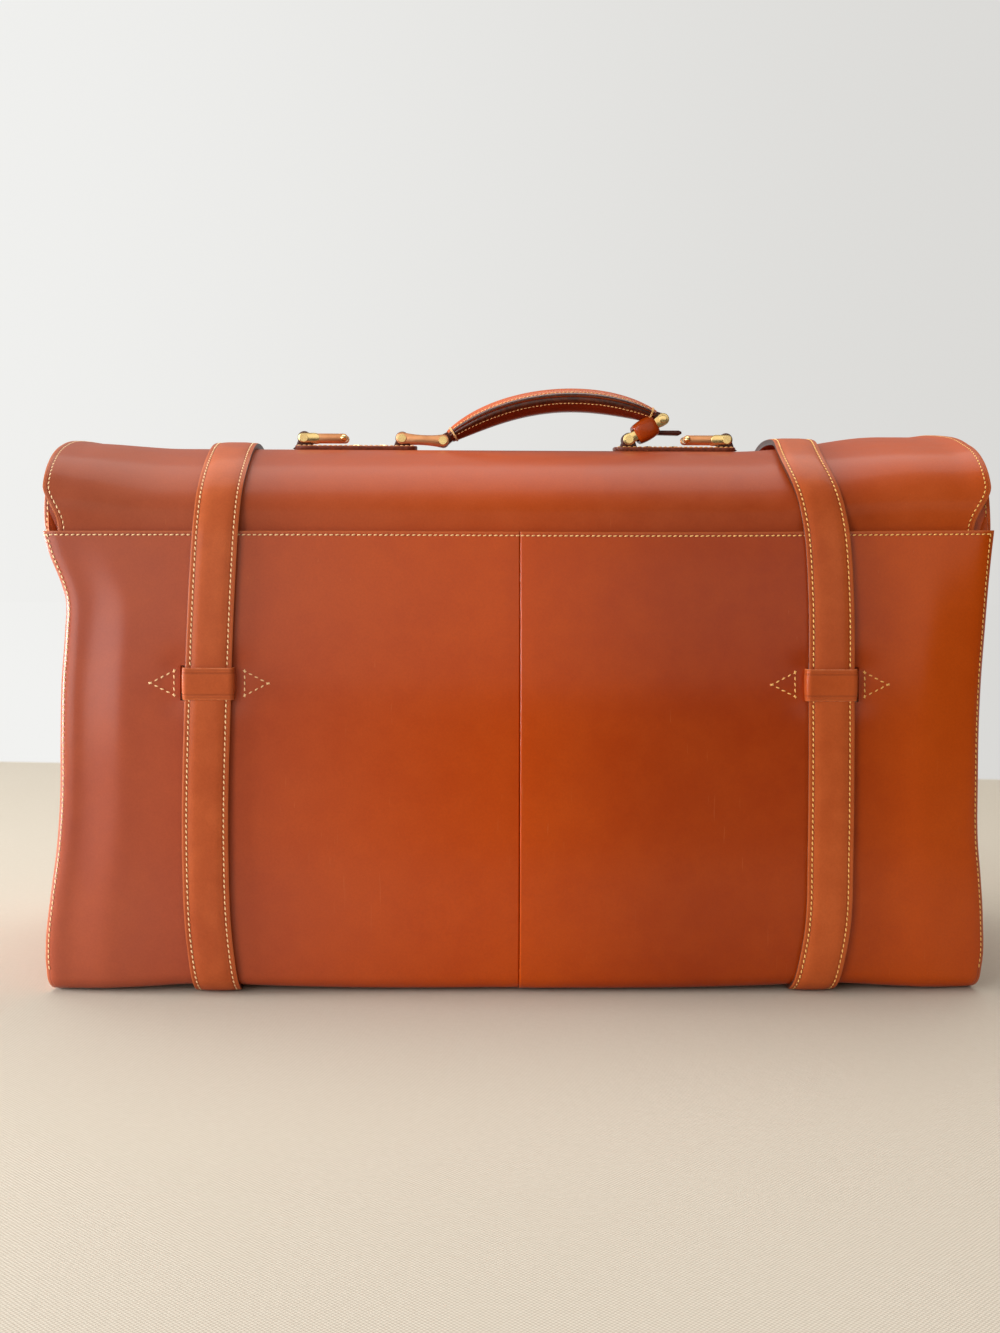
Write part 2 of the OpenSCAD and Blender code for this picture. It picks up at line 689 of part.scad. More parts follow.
// Shackle: two arms with an oval end at the pin, joined by a crossbar
module shackle(side) {
    bar_r = 2.3;
    color(brass) both_x(side) translate([shackle_x, 0, pin_z]) mirror([1, 0, 0]) difference() {
        union() {
            for (s = [0, 1]) mirror([0, s, 0]) {
                along_y(plate_y, plate_y + plate_t) polygon(pill(4, boss_r));
                translate([4, plate_y, -bar_r]) cube([shackle_len - 4, plate_t, 2 * bar_r]);
            }
            rod_y(shackle_len, 0, bar_r, -plate_y - plate_t, plate_y + plate_t);
        }
        rod_y(0, 0, pin_r + pin_gap, -30, 30);
    }
}

// Frame of the handle: origin at its left pin, X along its chord
module at_handle() translate([left_pin[0], 0, left_pin[1]]) rotate([0, -handle_rise, 0]) children();

// A section point [across, up] set at angle a of the handle's arc
function on_arc(a, p) =
    let(r = grip_r + p[1])
    [handle_chord / 2 + r * sin(a), p[0], handle_sagitta - grip_r + r * cos(a)];
function taper(a, end, middle) = end + (middle - end) * (1 - pow(abs(a) / cover_a, 4));
function core_w(a) = taper(a, 6, grip_w / 2 - 6.5);
function core_h(a) = taper(a, 2.6, grip_h / 2 - cover_t);
core_sides = 16;
function oval(w, h, from, to) =
    [for (i = [0:8]) let(t = from + (to - from) * i / 8) [w * cos(t), h * sin(t)]];

module loft(rings) {
    n = len(rings[0]);
    m = len(rings);
    sides = [for (i = [0:m - 2], j = [0:n - 1]) let(k = (j + 1) % n, p = i * n, q = p + n)
        each [[p + j, q + j, q + k], [p + j, q + k, p + k]]];
    caps = [[for (j = [0:n - 1]) j], [for (j = [n - 1:-1:0]) (m - 1) * n + j]];
    polyhedron([for (r = rings) each r], concat(sides, caps));
}
function ring(a, section) = [for (p = section) on_arc(a, p)];
arc_steps = 14;
function arc_angles(end) = [for (i = [0:arc_steps]) -end + 2 * end * i / arc_steps];

module handle_core() {
    color(dark_leather) at_handle() loft([for (a = arc_angles(core_a))
        ring(a, [for (i = [0:core_sides - 1]) let(t = 360 * i / core_sides)
            [core_w(a) * cos(t), core_h(a) * sin(t)]])]);
}

// Half cover: a half oval with flanges turned out, mirrored for the lower one
flange_w = 4.9;
flange_a = 22;
lip_a = 2;
function cover_section(a) =
    let(w = core_w(a) + layer_gap, h = core_h(a) + layer_gap, f = w + cover_t + taper(a, 0.6, flange_w))
    concat([[f, layer_gap / 2], [f, cover_t]],
        oval(w + cover_t, core_h(a) + cover_t, flange_a, 180 - flange_a),
        [[-f, cover_t], [-f, layer_gap / 2]], oval(w, h, 180 - lip_a, lip_a));
module handle_cover(up) {
    color(up > 0 ? strap_leather : dark_leather) at_handle()
        loft([for (a = arc_angles(cover_a))
            ring(a, up > 0 ? cover_section(a) : flip([for (p = cover_section(a)) [p[0], -p[1]]]))]);
}

// End loop: an eye round the pin and a tongue into the end of the covers
module handle_loop(end) {
    tongue = 16;
    tongue_w = 8;
    tongue_t = 2.8;
    eye_w = loop_w - 1;
    slope = end < 0 ? -grip_end_a : 180 + grip_end_a;
    end_x = end < 0 ? 0 : handle_chord;
    color(dark_leather) at_handle() translate([end_x, 0, 0]) rotate([0, slope, 0]) difference() {
        union() {
            rod_y(0, 0, boss_r, -eye_w / 2, eye_w / 2);
            translate([0, -tongue_w / 2, -tongue_t / 2]) cube([tongue, tongue_w, tongue_t]);
        }
        rod_y(0, 0, pin_r + pin_fit, -base_d, base_d);
    }
}

// Left pin through the left link, right pin between the plates of the right link
module handle_pins() {
    color(brass) at_handle() {
        headed_pin(0, 0);
        rod_y(handle_chord, 0, pin_r, -plate_y + 0.3, plate_y - 0.3);
    }
}

// Thread wound round each end of the covers
thread_t = 0.7;
module handle_thread() {
    color(thread) at_handle() for (end = [-1, 1], turn = [0:2]) {
        a = end * (cover_a - 2.2 - turn * thread_t * 0.8);
        w = core_w(a) + cover_t + taper(a, 0.6, flange_w) + thread_t + 0.2;
        h = core_h(a) + cover_t + thread_t;
        translate(on_arc(a, [0, 0])) rotate([0, a, 0]) difference() {
            cube([thread_t, 2 * w, 2 * h], center = true);
            cube([2 * thread_t, 2 * (w - thread_t), 2 * (h - thread_t)], center = true);
        }
    }
}

back_panel(-1);  // back_panel_left
back_panel(1);  // back_panel_right
seam_backing();
front_panel();
front_facing();
base_panel();
back_yoke();
yoke_wing(-1);  // yoke_wing_left
yoke_wing(1);  // yoke_wing_right
gusset(-1);  // gusset_left
gusset(1);  // gusset_right
base_board();
back_interlining();
front_interlining();
body_lining();
rear_keeper(-1);  // rear_keeper_left
rear_keeper(1);  // rear_keeper_right
strap_rear(-1);  // strap_rear_left
strap_rear(1);  // strap_rear_right
strap_base(-1);  // strap_base_left
strap_base(1);  // strap_base_right
strap_front(-1);  // strap_front_left
strap_front(1);  // strap_front_right
flap();
flap_lining();
strap_top(-1);  // strap_top_left
strap_top(1);  // strap_top_right
buckle_keeper(-1);  // buckle_keeper_left
buckle_keeper(1);  // buckle_keeper_right
buckle(-1);  // buckle_left
buckle(1);  // buckle_right
prong(-1);  // prong_left
prong(1);  // prong_right
handle_base(-1);  // handle_base_left
handle_base(1);  // handle_base_right
backing_plate(-1);  // backing_plate_left
backing_plate(1);  // backing_plate_right
base_rivets();
base_pins();
link_left();
link_right();
tag_strap();
shackle(-1);  // shackle_left
shackle(1);  // shackle_right
handle_core();
handle_cover(1);  // handle_cover_upper
handle_cover(-1);  // handle_cover_lower
handle_loop(-1);  // handle_loop_left
handle_loop(1);  // handle_loop_right
handle_pins();
handle_thread();
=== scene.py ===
import math
import bmesh
import bpy
import numpy as np
from mathutils import Matrix, Vector


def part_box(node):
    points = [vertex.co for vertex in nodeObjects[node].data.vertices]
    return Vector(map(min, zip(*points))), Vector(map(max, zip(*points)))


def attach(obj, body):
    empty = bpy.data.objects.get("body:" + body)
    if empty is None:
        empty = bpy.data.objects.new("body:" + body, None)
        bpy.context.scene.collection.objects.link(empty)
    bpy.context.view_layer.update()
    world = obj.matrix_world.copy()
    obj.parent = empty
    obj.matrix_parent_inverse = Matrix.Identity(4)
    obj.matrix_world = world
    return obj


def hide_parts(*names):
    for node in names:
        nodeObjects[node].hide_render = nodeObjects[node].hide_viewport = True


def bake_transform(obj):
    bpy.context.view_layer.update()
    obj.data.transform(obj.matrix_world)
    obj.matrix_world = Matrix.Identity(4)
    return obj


# Leather weekender seen from its back. Sizes are in millimetres and are made metres when a mesh is made.
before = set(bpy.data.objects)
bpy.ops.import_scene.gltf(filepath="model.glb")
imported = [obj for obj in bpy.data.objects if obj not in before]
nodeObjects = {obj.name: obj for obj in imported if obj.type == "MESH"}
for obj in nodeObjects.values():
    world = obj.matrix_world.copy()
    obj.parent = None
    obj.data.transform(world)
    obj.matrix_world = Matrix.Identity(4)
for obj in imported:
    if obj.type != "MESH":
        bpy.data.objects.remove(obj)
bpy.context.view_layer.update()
toMetres = 0.001


def boxOf(node):
    low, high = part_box(node)
    return np.array(low) / toMetres, np.array(high) / toMetres


# Camera
view = {
    "place": (-31.7, -1045.6, 276.7), "turn": 1.18, "down": 4.38, "roll": 0.2,
    "focalPixels": 1500, "imageHeight": 1333, "sensor": 36, "nearest": 0.05,
}


def makeCamera():
    turn, down, roll = (math.radians(view[k]) for k in ("turn", "down", "roll"))
    ahead = Vector((math.sin(turn) * math.cos(down), math.cos(turn) * math.cos(down), -math.sin(down)))
    level = ahead.cross(Vector((0, 0, 1))).normalized()
    right = level * math.cos(roll) + level.cross(ahead) * math.sin(roll)
    above = right.cross(ahead)
    data = bpy.data.cameras.new("camera")
    data.sensor_fit = "VERTICAL"
    data.sensor_height = view["sensor"]
    data.lens = data.sensor_height * view["focalPixels"] / view["imageHeight"]
    data.clip_start = view["nearest"]
    camera = bpy.data.objects.new("camera", data)
    camera.matrix_world = Matrix.Translation(Vector(view["place"]) * toMetres) @ Matrix(
        (right, above, -ahead)).transposed().to_4x4()
    bpy.context.scene.collection.objects.link(camera)
    bpy.context.scene.camera = camera


makeCamera()
print("camera placed")


# Curves and numbers
def smooth(low, high, value):
    t = np.clip((np.asarray(value, float) - low) / (high - low), 0, 1)
    return t * t * (3 - 2 * t)


def curveThrough(points, at):
    # smooth curve through (place, value) points
    place, value = np.array(points, float).T
    at = np.clip(np.asarray(at, float), place[0], place[-1])
    slope = np.gradient(value, place)
    k = np.clip(np.searchsorted(place, at) - 1, 0, len(place) - 2)
    span = place[k + 1] - place[k]
    t = (at - place[k]) / span
    return ((2 * t**3 - 3 * t**2 + 1) * value[k] + (t**3 - 2 * t**2 + t) * span * slope[k]
            + (3 * t**2 - 2 * t**3) * value[k + 1] + (t**3 - t**2) * span * slope[k + 1])


def unit(vectors):
    return vectors / np.maximum(np.linalg.norm(vectors, axis=-1, keepdims=True), 1e-9)


def spread(low, high, step):
    return np.linspace(low, high, max(2, int(round(abs(high - low) / step)) + 1))


def merged(*parts):
    # ascending places without near doubles
    places = np.sort(np.concatenate([np.atleast_1d(p) for p in parts]))
    return places[np.concatenate([[True], np.diff(places) > 0.05])]


def lengthAlong(path):
    return np.concatenate([[0], np.cumsum(np.linalg.norm(np.diff(path, axis=0), axis=1))])


def outwardNormals(path, inside):
    # normals of a line in a plane, away from a place inside
    tangent = unit(np.gradient(path, axis=0))
    normal = np.stack([tangent[:, 1], -tangent[:, 0]], -1)
    return normal * np.sign(np.mean(np.sum(normal * (path - np.array(inside)), axis=1)))


def roundedBox(left, right, low, high, corner, steps):
    # the four rounded corners of a box in a plane, each an arc of points
    points = []
    for centreX, centreY, start in ((right - corner, high - corner, 0), (left + corner, high - corner, 90),
                                    (left + corner, low + corner, 180), (right - corner, low + corner, 270)):
        for k in range(steps):
            a = math.radians(start + k * 90 / (steps - 1))
            points.append((centreX + corner * math.cos(a), centreY + corner * math.sin(a)))
    return points


def sideName(side):
    return "left" if side < 0 else "right"


def faceNormals(function, u, v, sign):
    # normals of a face that a function gives, from two small steps on it
    here, step = function(u, v), 0.5
    return sign * unit(np.cross(function(u + step, v) - here, function(u, v + step) - here))


# Meshes. The attribute rimDistance tells the leather how far, in millimetres, a point lies from a cut edge
farFromRim = 50.0


def addObject(name, mesh, materials):
    made = bpy.data.objects.new(name, mesh)
    bpy.context.scene.collection.objects.link(made)
    for material in materials:
        mesh.materials.append(material)
    return made


def meshFrom(name, points, faces, faceMaterial=None, rimDistance=None):
    mesh = bpy.data.meshes.new(name)
    mesh.from_pydata((np.asarray(points, float) * toMetres).tolist(), [], faces)
    if faceMaterial is not None:
        mesh.polygons.foreach_set("material_index", np.asarray(faceMaterial, np.int32))
    values = np.full(len(points), farFromRim) if rimDistance is None else np.asarray(rimDistance, float)
    mesh.attributes.new("rimDistance", "FLOAT", "POINT").data.foreach_set("value", values.astype(np.float32))
    mesh.update()
    return mesh


def finishMesh(mesh, rim=0, sharp=50, merge=0.0):
    # closes doubles, points the faces outward and rounds the edges where the rim meets the faces
    shell = bmesh.new()
    shell.from_mesh(mesh)
    if merge:
        bmesh.ops.remove_doubles(shell, verts=shell.verts, dist=merge * toMetres)
    bmesh.ops.recalc_face_normals(shell, faces=shell.faces)
    if rim:
        edges = [e for e in shell.edges if len(e.link_faces) == 2
                 and e.link_faces[0].material_index != e.link_faces[1].material_index]
        bmesh.ops.bevel(shell, geom=edges, offset=rim * toMetres, segments=2, profile=0.5, affect="EDGES",
                        clamp_overlap=True, material=1)
    shell.to_mesh(mesh)
    shell.free()
    mesh.shade_smooth()
    mesh.set_sharp_from_angle(angle=math.radians(sharp))


def sheet(name, grid, thickness, inside, materials, keep=None, rimDistance=None, rim=0.6, closed=False):
    # a sheet of leather or cloth from a grid of points on its outer face; its rims have the second material
    rows, columns = grid.shape[:2]
    along = np.gradient(grid, axis=0)
    across = (np.roll(grid, -1, axis=1) - np.roll(grid, 1, axis=1)) if closed else np.gradient(grid, axis=1)
    normals = unit(np.cross(along, across))
    if np.mean(np.sum(normals * (grid - np.array(inside)), axis=2)) < 0:
        normals = -normals
    inner = grid - normals * thickness
    points = np.concatenate([grid.reshape(-1, 3), inner.reshape(-1, 3)])
    index = np.arange(rows * columns).reshape(rows, columns)
    if closed:
        index = np.concatenate([index, index[:, :1]], axis=1)
    back = rows * columns
    kept = np.ones((rows - 1, index.shape[1] - 1), bool) if keep is None else keep
    cells = np.argwhere(kept)
    a, b = index[cells[:, 0], cells[:, 1]], index[cells[:, 0] + 1, cells[:, 1]]
    c, d = index[cells[:, 0] + 1, cells[:, 1] + 1], index[cells[:, 0], cells[:, 1] + 1]
    faces = np.stack([a, b, c, d], 1).tolist() + (np.stack([d, c, b, a], 1) + back).tolist()
    flat = len(faces)
    padded = np.pad(kept, 1)
    if closed:
        padded[1:-1, 0], padded[1:-1, -1] = kept[:, -1], kept[:, 0]
    for i, j in np.argwhere(padded[1:, 1:-1] != padded[:-1, 1:-1]):
        faces.append([index[i, j], index[i, j + 1], index[i, j + 1] + back, index[i, j] + back])
    for i, j in np.argwhere(padded[1:-1, 1:] != padded[1:-1, :-1]):
        faces.append([index[i, j], index[i + 1, j], index[i + 1, j] + back, index[i, j] + back])
    distance = None if rimDistance is None else np.tile(np.asarray(rimDistance, float).reshape(-1), 2)
    mesh = meshFrom(name, points, faces, [0] * flat + [1] * (len(faces) - flat), distance)
    loose = bmesh.new()
    loose.from_mesh(mesh)
    bmesh.ops.delete(loose, geom=[v for v in loose.verts if not v.link_faces], context="VERTS")
    loose.to_mesh(mesh)
    loose.free()
    finishMesh(mesh, rim)
    return addObject(name, mesh, materials), normals


def ringRuns(name, rings, materials, ringMaterial=None, sharp=50, loop=False):
    # skin over rings of points, with flat ends or closed into a loop
    rings = np.asarray(rings, float)
    count, size = rings.shape[:2]
    faces, index = [], []
    for i in range(count if loop else count - 1):
        for j in range(size):
            k, n = (j + 1) % size, (i + 1) % count
            faces.append([i * size + j, i * size + k, n * size + k, n * size + j])
            index.append(0 if ringMaterial is None else ringMaterial[j])
    if not loop:
        faces += [list(range(size - 1, -1, -1)), [(count - 1) * size + j for j in range(size)]]
        index += [0, 0]
    mesh = meshFrom(name, rings.reshape(-1, 3), faces, index)
    finishMesh(mesh, sharp=sharp)
    return addObject(name, mesh, materials)


def tube(name, path, radius, materials, sides=10, loop=False):
    # round rod along a path, with domed ends where it is open
    path = np.asarray(path, float)
    tangent = unit((np.roll(path, -1, 0) - np.roll(path, 1, 0)) if loop else np.gradient(path, axis=0))
    spine = np.array([0, 1.0, 0]) if abs(tangent[:, 1]).max() < 0.9 else np.array([0, 0, 1.0])
    first = unit(np.cross(tangent, spine) + 1e-9)
    second = np.cross(tangent, first)
    angle = np.arange(sides) * 2 * math.pi / sides
    radii = np.broadcast_to(np.asarray(radius, float), (len(path),))
    rings = [p + r * (np.outer(np.cos(angle), f) + np.outer(np.sin(angle), s))
             for p, r, f, s in zip(path, radii, first, second)]
    if not loop:
        for end, way in ((0, -1), (-1, 1)):
            dome = [path[end] + way * tangent[end] * radii[end] * math.sin(q)
                    + (rings[end] - path[end]) * math.cos(q) for q in (0.5, 1.0, 1.4)]
            rings = dome[::-1] + rings if end == 0 else rings + dome
    return ringRuns(name, rings, materials, loop=loop)


def prism(name, outline, low, high, axis, materials, rim=0.5, segments=2):
    # a flat outline in two axes given thickness along the third, with rounded edges
    outline = np.asarray(outline, float)
    count = len(outline)
    others = [k for k in range(3) if k != axis]
    points = np.zeros((2 * count, 3))
    points[:count, others], points[count:, others] = outline, outline
    points[:count, axis], points[count:, axis] = low, high
    faces = [list(range(count)), [2 * count - 1 - k for k in range(count)]]
    faces += [[k, (k + 1) % count, count + (k + 1) % count, count + k] for k in range(count)]
    mesh = meshFrom(name, points, faces)
    shell = bmesh.new()
    shell.from_mesh(mesh)
    bmesh.ops.recalc_face_normals(shell, faces=shell.faces)
    flats = [f for f in shell.faces if len(f.verts) == count]
    edges = {e for f in flats for e in f.edges}
    bmesh.ops.bevel(shell, geom=list(edges), offset=rim * toMetres, segments=segments, profile=0.5,
                    affect="EDGES", clamp_overlap=True, material=-1)
    shell.to_mesh(mesh)
    shell.free()
    mesh.shade_smooth()
    mesh.set_sharp_from_angle(angle=math.radians(40))
    return addObject(name, mesh, materials)


def joined(name, parts):
    # one object from several, with their materials kept apart
    mesh = bpy.data.meshes.new(name)
    shell = bmesh.new()
    materials = []
    for part in parts:
        before = len(shell.faces)
        shell.from_mesh(part.data)
        shell.faces.ensure_lookup_table()
        slots = []
        for material in part.data.materials:
            if material not in materials:
                materials.append(material)
            slots.append(materials.index(material))
        for face in shell.faces[before:]:
            face.material_index = slots[min(face.material_index, len(slots) - 1)]
        bpy.data.objects.remove(part)
    shell.to_mesh(mesh)
    shell.free()
    return addObject(name, mesh, materials)


# Shader maths: a socket that Python arithmetic can build on
class Wire:
    def __init__(self, nodes, socket):
        self.nodes, self.socket = nodes, socket

    def math(self, operation, *values):
        return self.nodes.node("ShaderNodeMath", {"operation": operation}, [self, *values])

    def __add__(self, other):
        return self.math("ADD", other)

    def __sub__(self, other):
        return self.math("SUBTRACT", other)

    def __mul__(self, other):
        return self.math("MULTIPLY", other)

    def __rsub__(self, other):
        return self.nodes.node("ShaderNodeMath", {"operation": "SUBTRACT"}, [other, self])

    __radd__, __rmul__ = __add__, __mul__

    def between(self, low, high, start=0.0, end=1.0):
        inputs = {"Value": self, "From Min": low, "From Max": high, "To Min": start, "To Max": end}
        return self.nodes.node("ShaderNodeMapRange", {"interpolation_type": "SMOOTHSTEP"}, inputs)


class ShaderNodes:
    # the nodes of one material or of the world; place is what the textures are laid out on
    def __init__(self, tree, coordinates):
        self.tree = tree
        self.place = self.node("ShaderNodeTexCoord", output=coordinates)

    def node(self, kind, settings=None, inputs=None, output=0):
        made = self.tree.nodes.new(kind)
        for key, value in (settings or {}).items():
            setattr(made, key, value)
        pairs = inputs.items() if isinstance(inputs, dict) else enumerate(inputs or [])
        for key, value in pairs:
            if isinstance(value, Wire):
                self.tree.links.new(value.socket, made.inputs[key])
            else:
                made.inputs[key].default_value = value
        return Wire(self, made.outputs[output])

    def mix(self, factor, first, second):
        return self.node("ShaderNodeMix", {"data_type": "RGBA"}, {0: factor, 6: first, 7: second}, output=2)

    def noise(self, scale, detail=3.0, roughness=0.5, place=None):
        return self.node("ShaderNodeTexNoise", None, {"Vector": place or self.place, "Scale": scale,
                                                      "Detail": detail, "Roughness": roughness})

    def stretched(self, scale, turn=(0.0, 0.0, 0.0)):
        return self.node("ShaderNodeMapping", None, {"Vector": self.place, "Rotation": turn, "Scale": scale})

    def axis(self, name):
        return self.node("ShaderNodeSeparateXYZ", None, [self.place], output=name)

    def attribute(self, name):
        return self.node("ShaderNodeAttribute", {"attribute_name": name}, output="Fac")

    def bump(self, height, strength, distance, under=None):
        inputs = {"Height": height, "Strength": strength, "Distance": distance}
        if under is not None:
            inputs["Normal"] = under
        return self.node("ShaderNodeBump", None, inputs)


class Finish(ShaderNodes):
    # one material
    def __init__(self, name, constants=None):
        self.material = bpy.data.materials.new(name)
        self.material.use_nodes = True
        super().__init__(self.material.node_tree, "Object")
        self.shader = self.tree.nodes["Principled BSDF"]
        for socket, value in (constants or {}).items():
            self.shader.inputs[socket].default_value = value

    def set(self, **wires):
        names = {"colour": "Base Color", "roughness": "Roughness", "normal": "Normal"}
        for key, wire in wires.items():
            self.tree.links.new(wire.socket, self.shader.inputs[names[key]])
        return self.material


def colour(*levels):
    # linear colour from the usual red, green and blue levels of 0 to 255
    return tuple(v / 255 / 12.92 if v <= 10 else ((v / 255 + 0.055) / 1.055) ** 2.4 for v in levels) + (1.0,)


leather = {
    "pale": colour(188, 78, 12), "deep": colour(158, 54, 4),
    # the side tones below carry painted light: painted sheen on the left, painted shade on the right
    "pinkToneAndSheenSide": colour(152, 81, 64), "middle": colour(198, 73, 0), "deepToneAndShadeSide": colour(148, 47, 0),
    "rightEnd": colour(198, 78, 2),
    "flapPale": colour(176, 83, 42), "flapDeep": colour(152, 63, 24),
    "strapPale": colour(204, 102, 50), "strapDeep": colour(174, 78, 34),
    "edgeTan": colour(206, 122, 70), "edgeDark": colour(46, 20, 14), "dark": colour(70, 26, 16),
    "gussetPale": colour(170, 74, 24), "gussetDeep": colour(142, 54, 14),
    "redPale": colour(124, 42, 22), "redDeep": colour(92, 28, 16),
}
# millimetres from the rim to where the leather is burnished, creased and drawn in by the stitches
rimMarks = {"burnish": 2.6, "crease": 1.6, "groove": 3.3}
# noise scales per metre, from patches as wide as a hand down to pores
grainScale = {
    "patch": 7.0, "scuff": 14.0, "swell": 32.0, "mottle": 60.0, "pore": 700.0, "speck": 800.0, "fine": 1300.0,
}


def leatherFinish(name, pale, deep, gloss, shift=0.35, rough=0.36, burnished=0.35):
    # shift is how much painted light goes into the tone: painted sheen on the left, painted shade to the
    # right
    finish = Finish(name, {"Coat Weight": gloss, "Coat Roughness": 0.2, "Specular IOR Level": 0.08})
    broad = finish.noise(grainScale["patch"], 4.0, 0.55).between(0.3, 0.7)
    mottle = finish.noise(grainScale["mottle"], 5.0, 0.6).between(0.3, 0.72)
    surface = finish.mix(broad * 0.6 + mottle * 0.4, deep, pale)
    # across the bag the tone is partly the leather's own and partly painted light: sheen left, shade right
    sideways = finish.axis("X")
    paintedLightTint = finish.mix(sideways.between(-0.3, 0.02), leather["pinkToneAndSheenSide"], leather["middle"])
    paintedLightTint = finish.mix(sideways.between(-0.02, 0.12), paintedLightTint, leather["deepToneAndShadeSide"])
    paintedLightTint = finish.mix(sideways.between(0.18, 0.27), paintedLightTint, leather["rightEnd"])
    surface = finish.mix(shift, surface, paintedLightTint)
    rim = finish.attribute("rimDistance")
    burnish = 1.0 - rim.between(0.0, rimMarks["burnish"])
    surface = finish.mix(burnish * burnished, surface, leather["edgeTan"])
    groove = 1.0 - (rim - rimMarks["groove"]).math("ABSOLUTE").between(0.2, 0.9)
    crease = 1.0 - (rim - rimMarks["crease"]).math("ABSOLUTE").between(0.1, 0.4)
    # the groove and crease are darkened: painted shade in these hollows, over their real bump below
    surface = finish.mix(groove * 0.22 + crease * 0.12, surface, leather["edgeDark"])
    hairs = finish.noise(1.0, 2.0, 0.5, finish.stretched((900.0, 900.0, 18.0), (0.0, 0.5, 0.0)))
    scratch = hairs.between(0.70, 0.76) * finish.noise(grainScale["scuff"], 2.0).between(0.5, 0.62)
    surface = finish.mix(scratch * 0.25, surface, leather["edgeTan"])
    speck = finish.noise(grainScale["speck"], 3.0, 0.7).between(0.3, 0.7)
    surface = finish.mix(speck * 0.09, surface, leather["edgeDark"])
    fine = finish.noise(grainScale["fine"], 2.0, 0.6)
    grain = finish.node("ShaderNodeTexVoronoi", None, {"Vector": finish.place, "Scale": grainScale["pore"]})
    soft = finish.noise(grainScale["swell"], 3.0, 0.5)
    height = fine * 0.35 + grain * 0.45 + scratch * -0.5
    small = finish.bump(height, 0.35, 0.00012)
    wide = finish.bump(soft * 1.0 + groove * -0.9 + crease * -0.5, 0.5, 0.0004, small)
    roughness = broad * 0.06 + mottle * 0.07 + fine * 0.08 + scratch * 0.12 + (rough - 0.08)
    return finish.set(colour=surface, roughness=roughness, normal=wide)


def edgeFinish(name, tone, other, rough):
    # cut and burnished edge of the leather, with the layers showing faintly
    finish = Finish(name, {"Coat Weight": 0.2, "Coat Roughness": 0.3})
    fibres = finish.noise(420.0, 4.0, 0.65)
    surface = finish.mix(fibres.between(0.3, 0.7), tone, other)
    relief = finish.bump(fibres, 0.3, 0.00015)
    return finish.set(colour=surface, roughness=fibres * 0.15 + rough, normal=relief)


def brassFinish(name, tone, worn, rough):
    finish = Finish(name, {"Metallic": 1.0})
    haze = finish.noise(90.0, 4.0, 0.6)
    lines = finish.noise(1.0, 2.0, 0.5, finish.stretched((300.0, 2600.0, 2600.0), (0.0, 0.4, 0.3)))
    surface = finish.mix(haze.between(0.4, 0.75) * 0.6, tone, worn)
    roughness = haze * 0.14 + lines.between(0.4, 0.7) * 0.06 + rough
    return finish.set(colour=surface, roughness=roughness, normal=finish.bump(haze, 0.1, 0.0001))


def threadFinish():
    finish = Finish("thread", {"Sheen Weight": 0.2})
    strand = finish.noise(1500.0, 2.0)
    # the thread is paler on the left and more golden to the right: painted light from the left
    tone = finish.mix(finish.axis("X").between(-0.3, 0.3), colour(250, 214, 160), colour(248, 192, 96))
    surface = finish.mix(strand.between(0.3, 0.7) * 0.3, tone, colour(190, 120, 60))
    return finish.set(colour=surface, roughness=strand * 0.2 + 0.5, normal=finish.bump(strand, 0.4, 0.00008))


def clothFinish(name, tone, other, pitch):
    finish = Finish(name, {"Sheen Weight": 0.15, "Roughness": 0.85})
    waves = 2 * math.pi / (pitch * toMetres)
    warp = (finish.axis("X") * waves).math("SINE")
    weft = ((finish.axis("Z") + finish.axis("Y")) * waves).math("SINE")
    weave = (warp * weft) * 0.5 + 0.5
    slub = finish.noise(120.0, 4.0, 0.6)
    surface = finish.mix(weave * 0.5 + slub * 0.4, tone, other)
    return finish.set(colour=surface, normal=finish.bump(weave + slub * 0.4, 0.3, 0.0002))


bodyLeather = leatherFinish("bodyLeather", leather["pale"], leather["deep"], 0.4, shift=0.6)
gussetLeather = leatherFinish("gussetLeather", leather["gussetPale"], leather["gussetDeep"], 0.25, shift=0.12)
flapLeather = leatherFinish("flapLeather", leather["flapPale"], leather["flapDeep"], 0.14, shift=0.45,
                            rough=0.44)
strapLeather = leatherFinish("strapLeather", leather["strapPale"], leather["strapDeep"], 0.15, shift=0.25,
                             rough=0.42, burnished=0.12)
darkLeather = leatherFinish("darkLeather", leather["dark"], leather["edgeDark"], 0.3, shift=0.08, rough=0.34)
redLeather = leatherFinish("redLeather", leather["redPale"], leather["redDeep"], 0.35, shift=0.1, rough=0.32)
edgeTan = edgeFinish("edgeTan", leather["edgeTan"], leather["pale"], 0.4)
edgeDark = edgeFinish("edgeDark", leather["edgeDark"], colour(96, 46, 28), 0.3)
edgeBrown = edgeFinish("edgeBrown", colour(132, 62, 38), colour(90, 38, 22), 0.35)
brass = brassFinish("brass", colour(240, 214, 152), colour(220, 180, 118), 0.16)
copperBrass = brassFinish("copperBrass", colour(226, 164, 118), colour(200, 128, 88), 0.24)
thread = threadFinish()
liningCloth = clothFinish("liningCloth", colour(196, 176, 140), colour(168, 146, 110), 1.2)
boardGrey = clothFinish("board", colour(150, 140, 126), colour(128, 118, 104), 2.0)
print("finishes made")

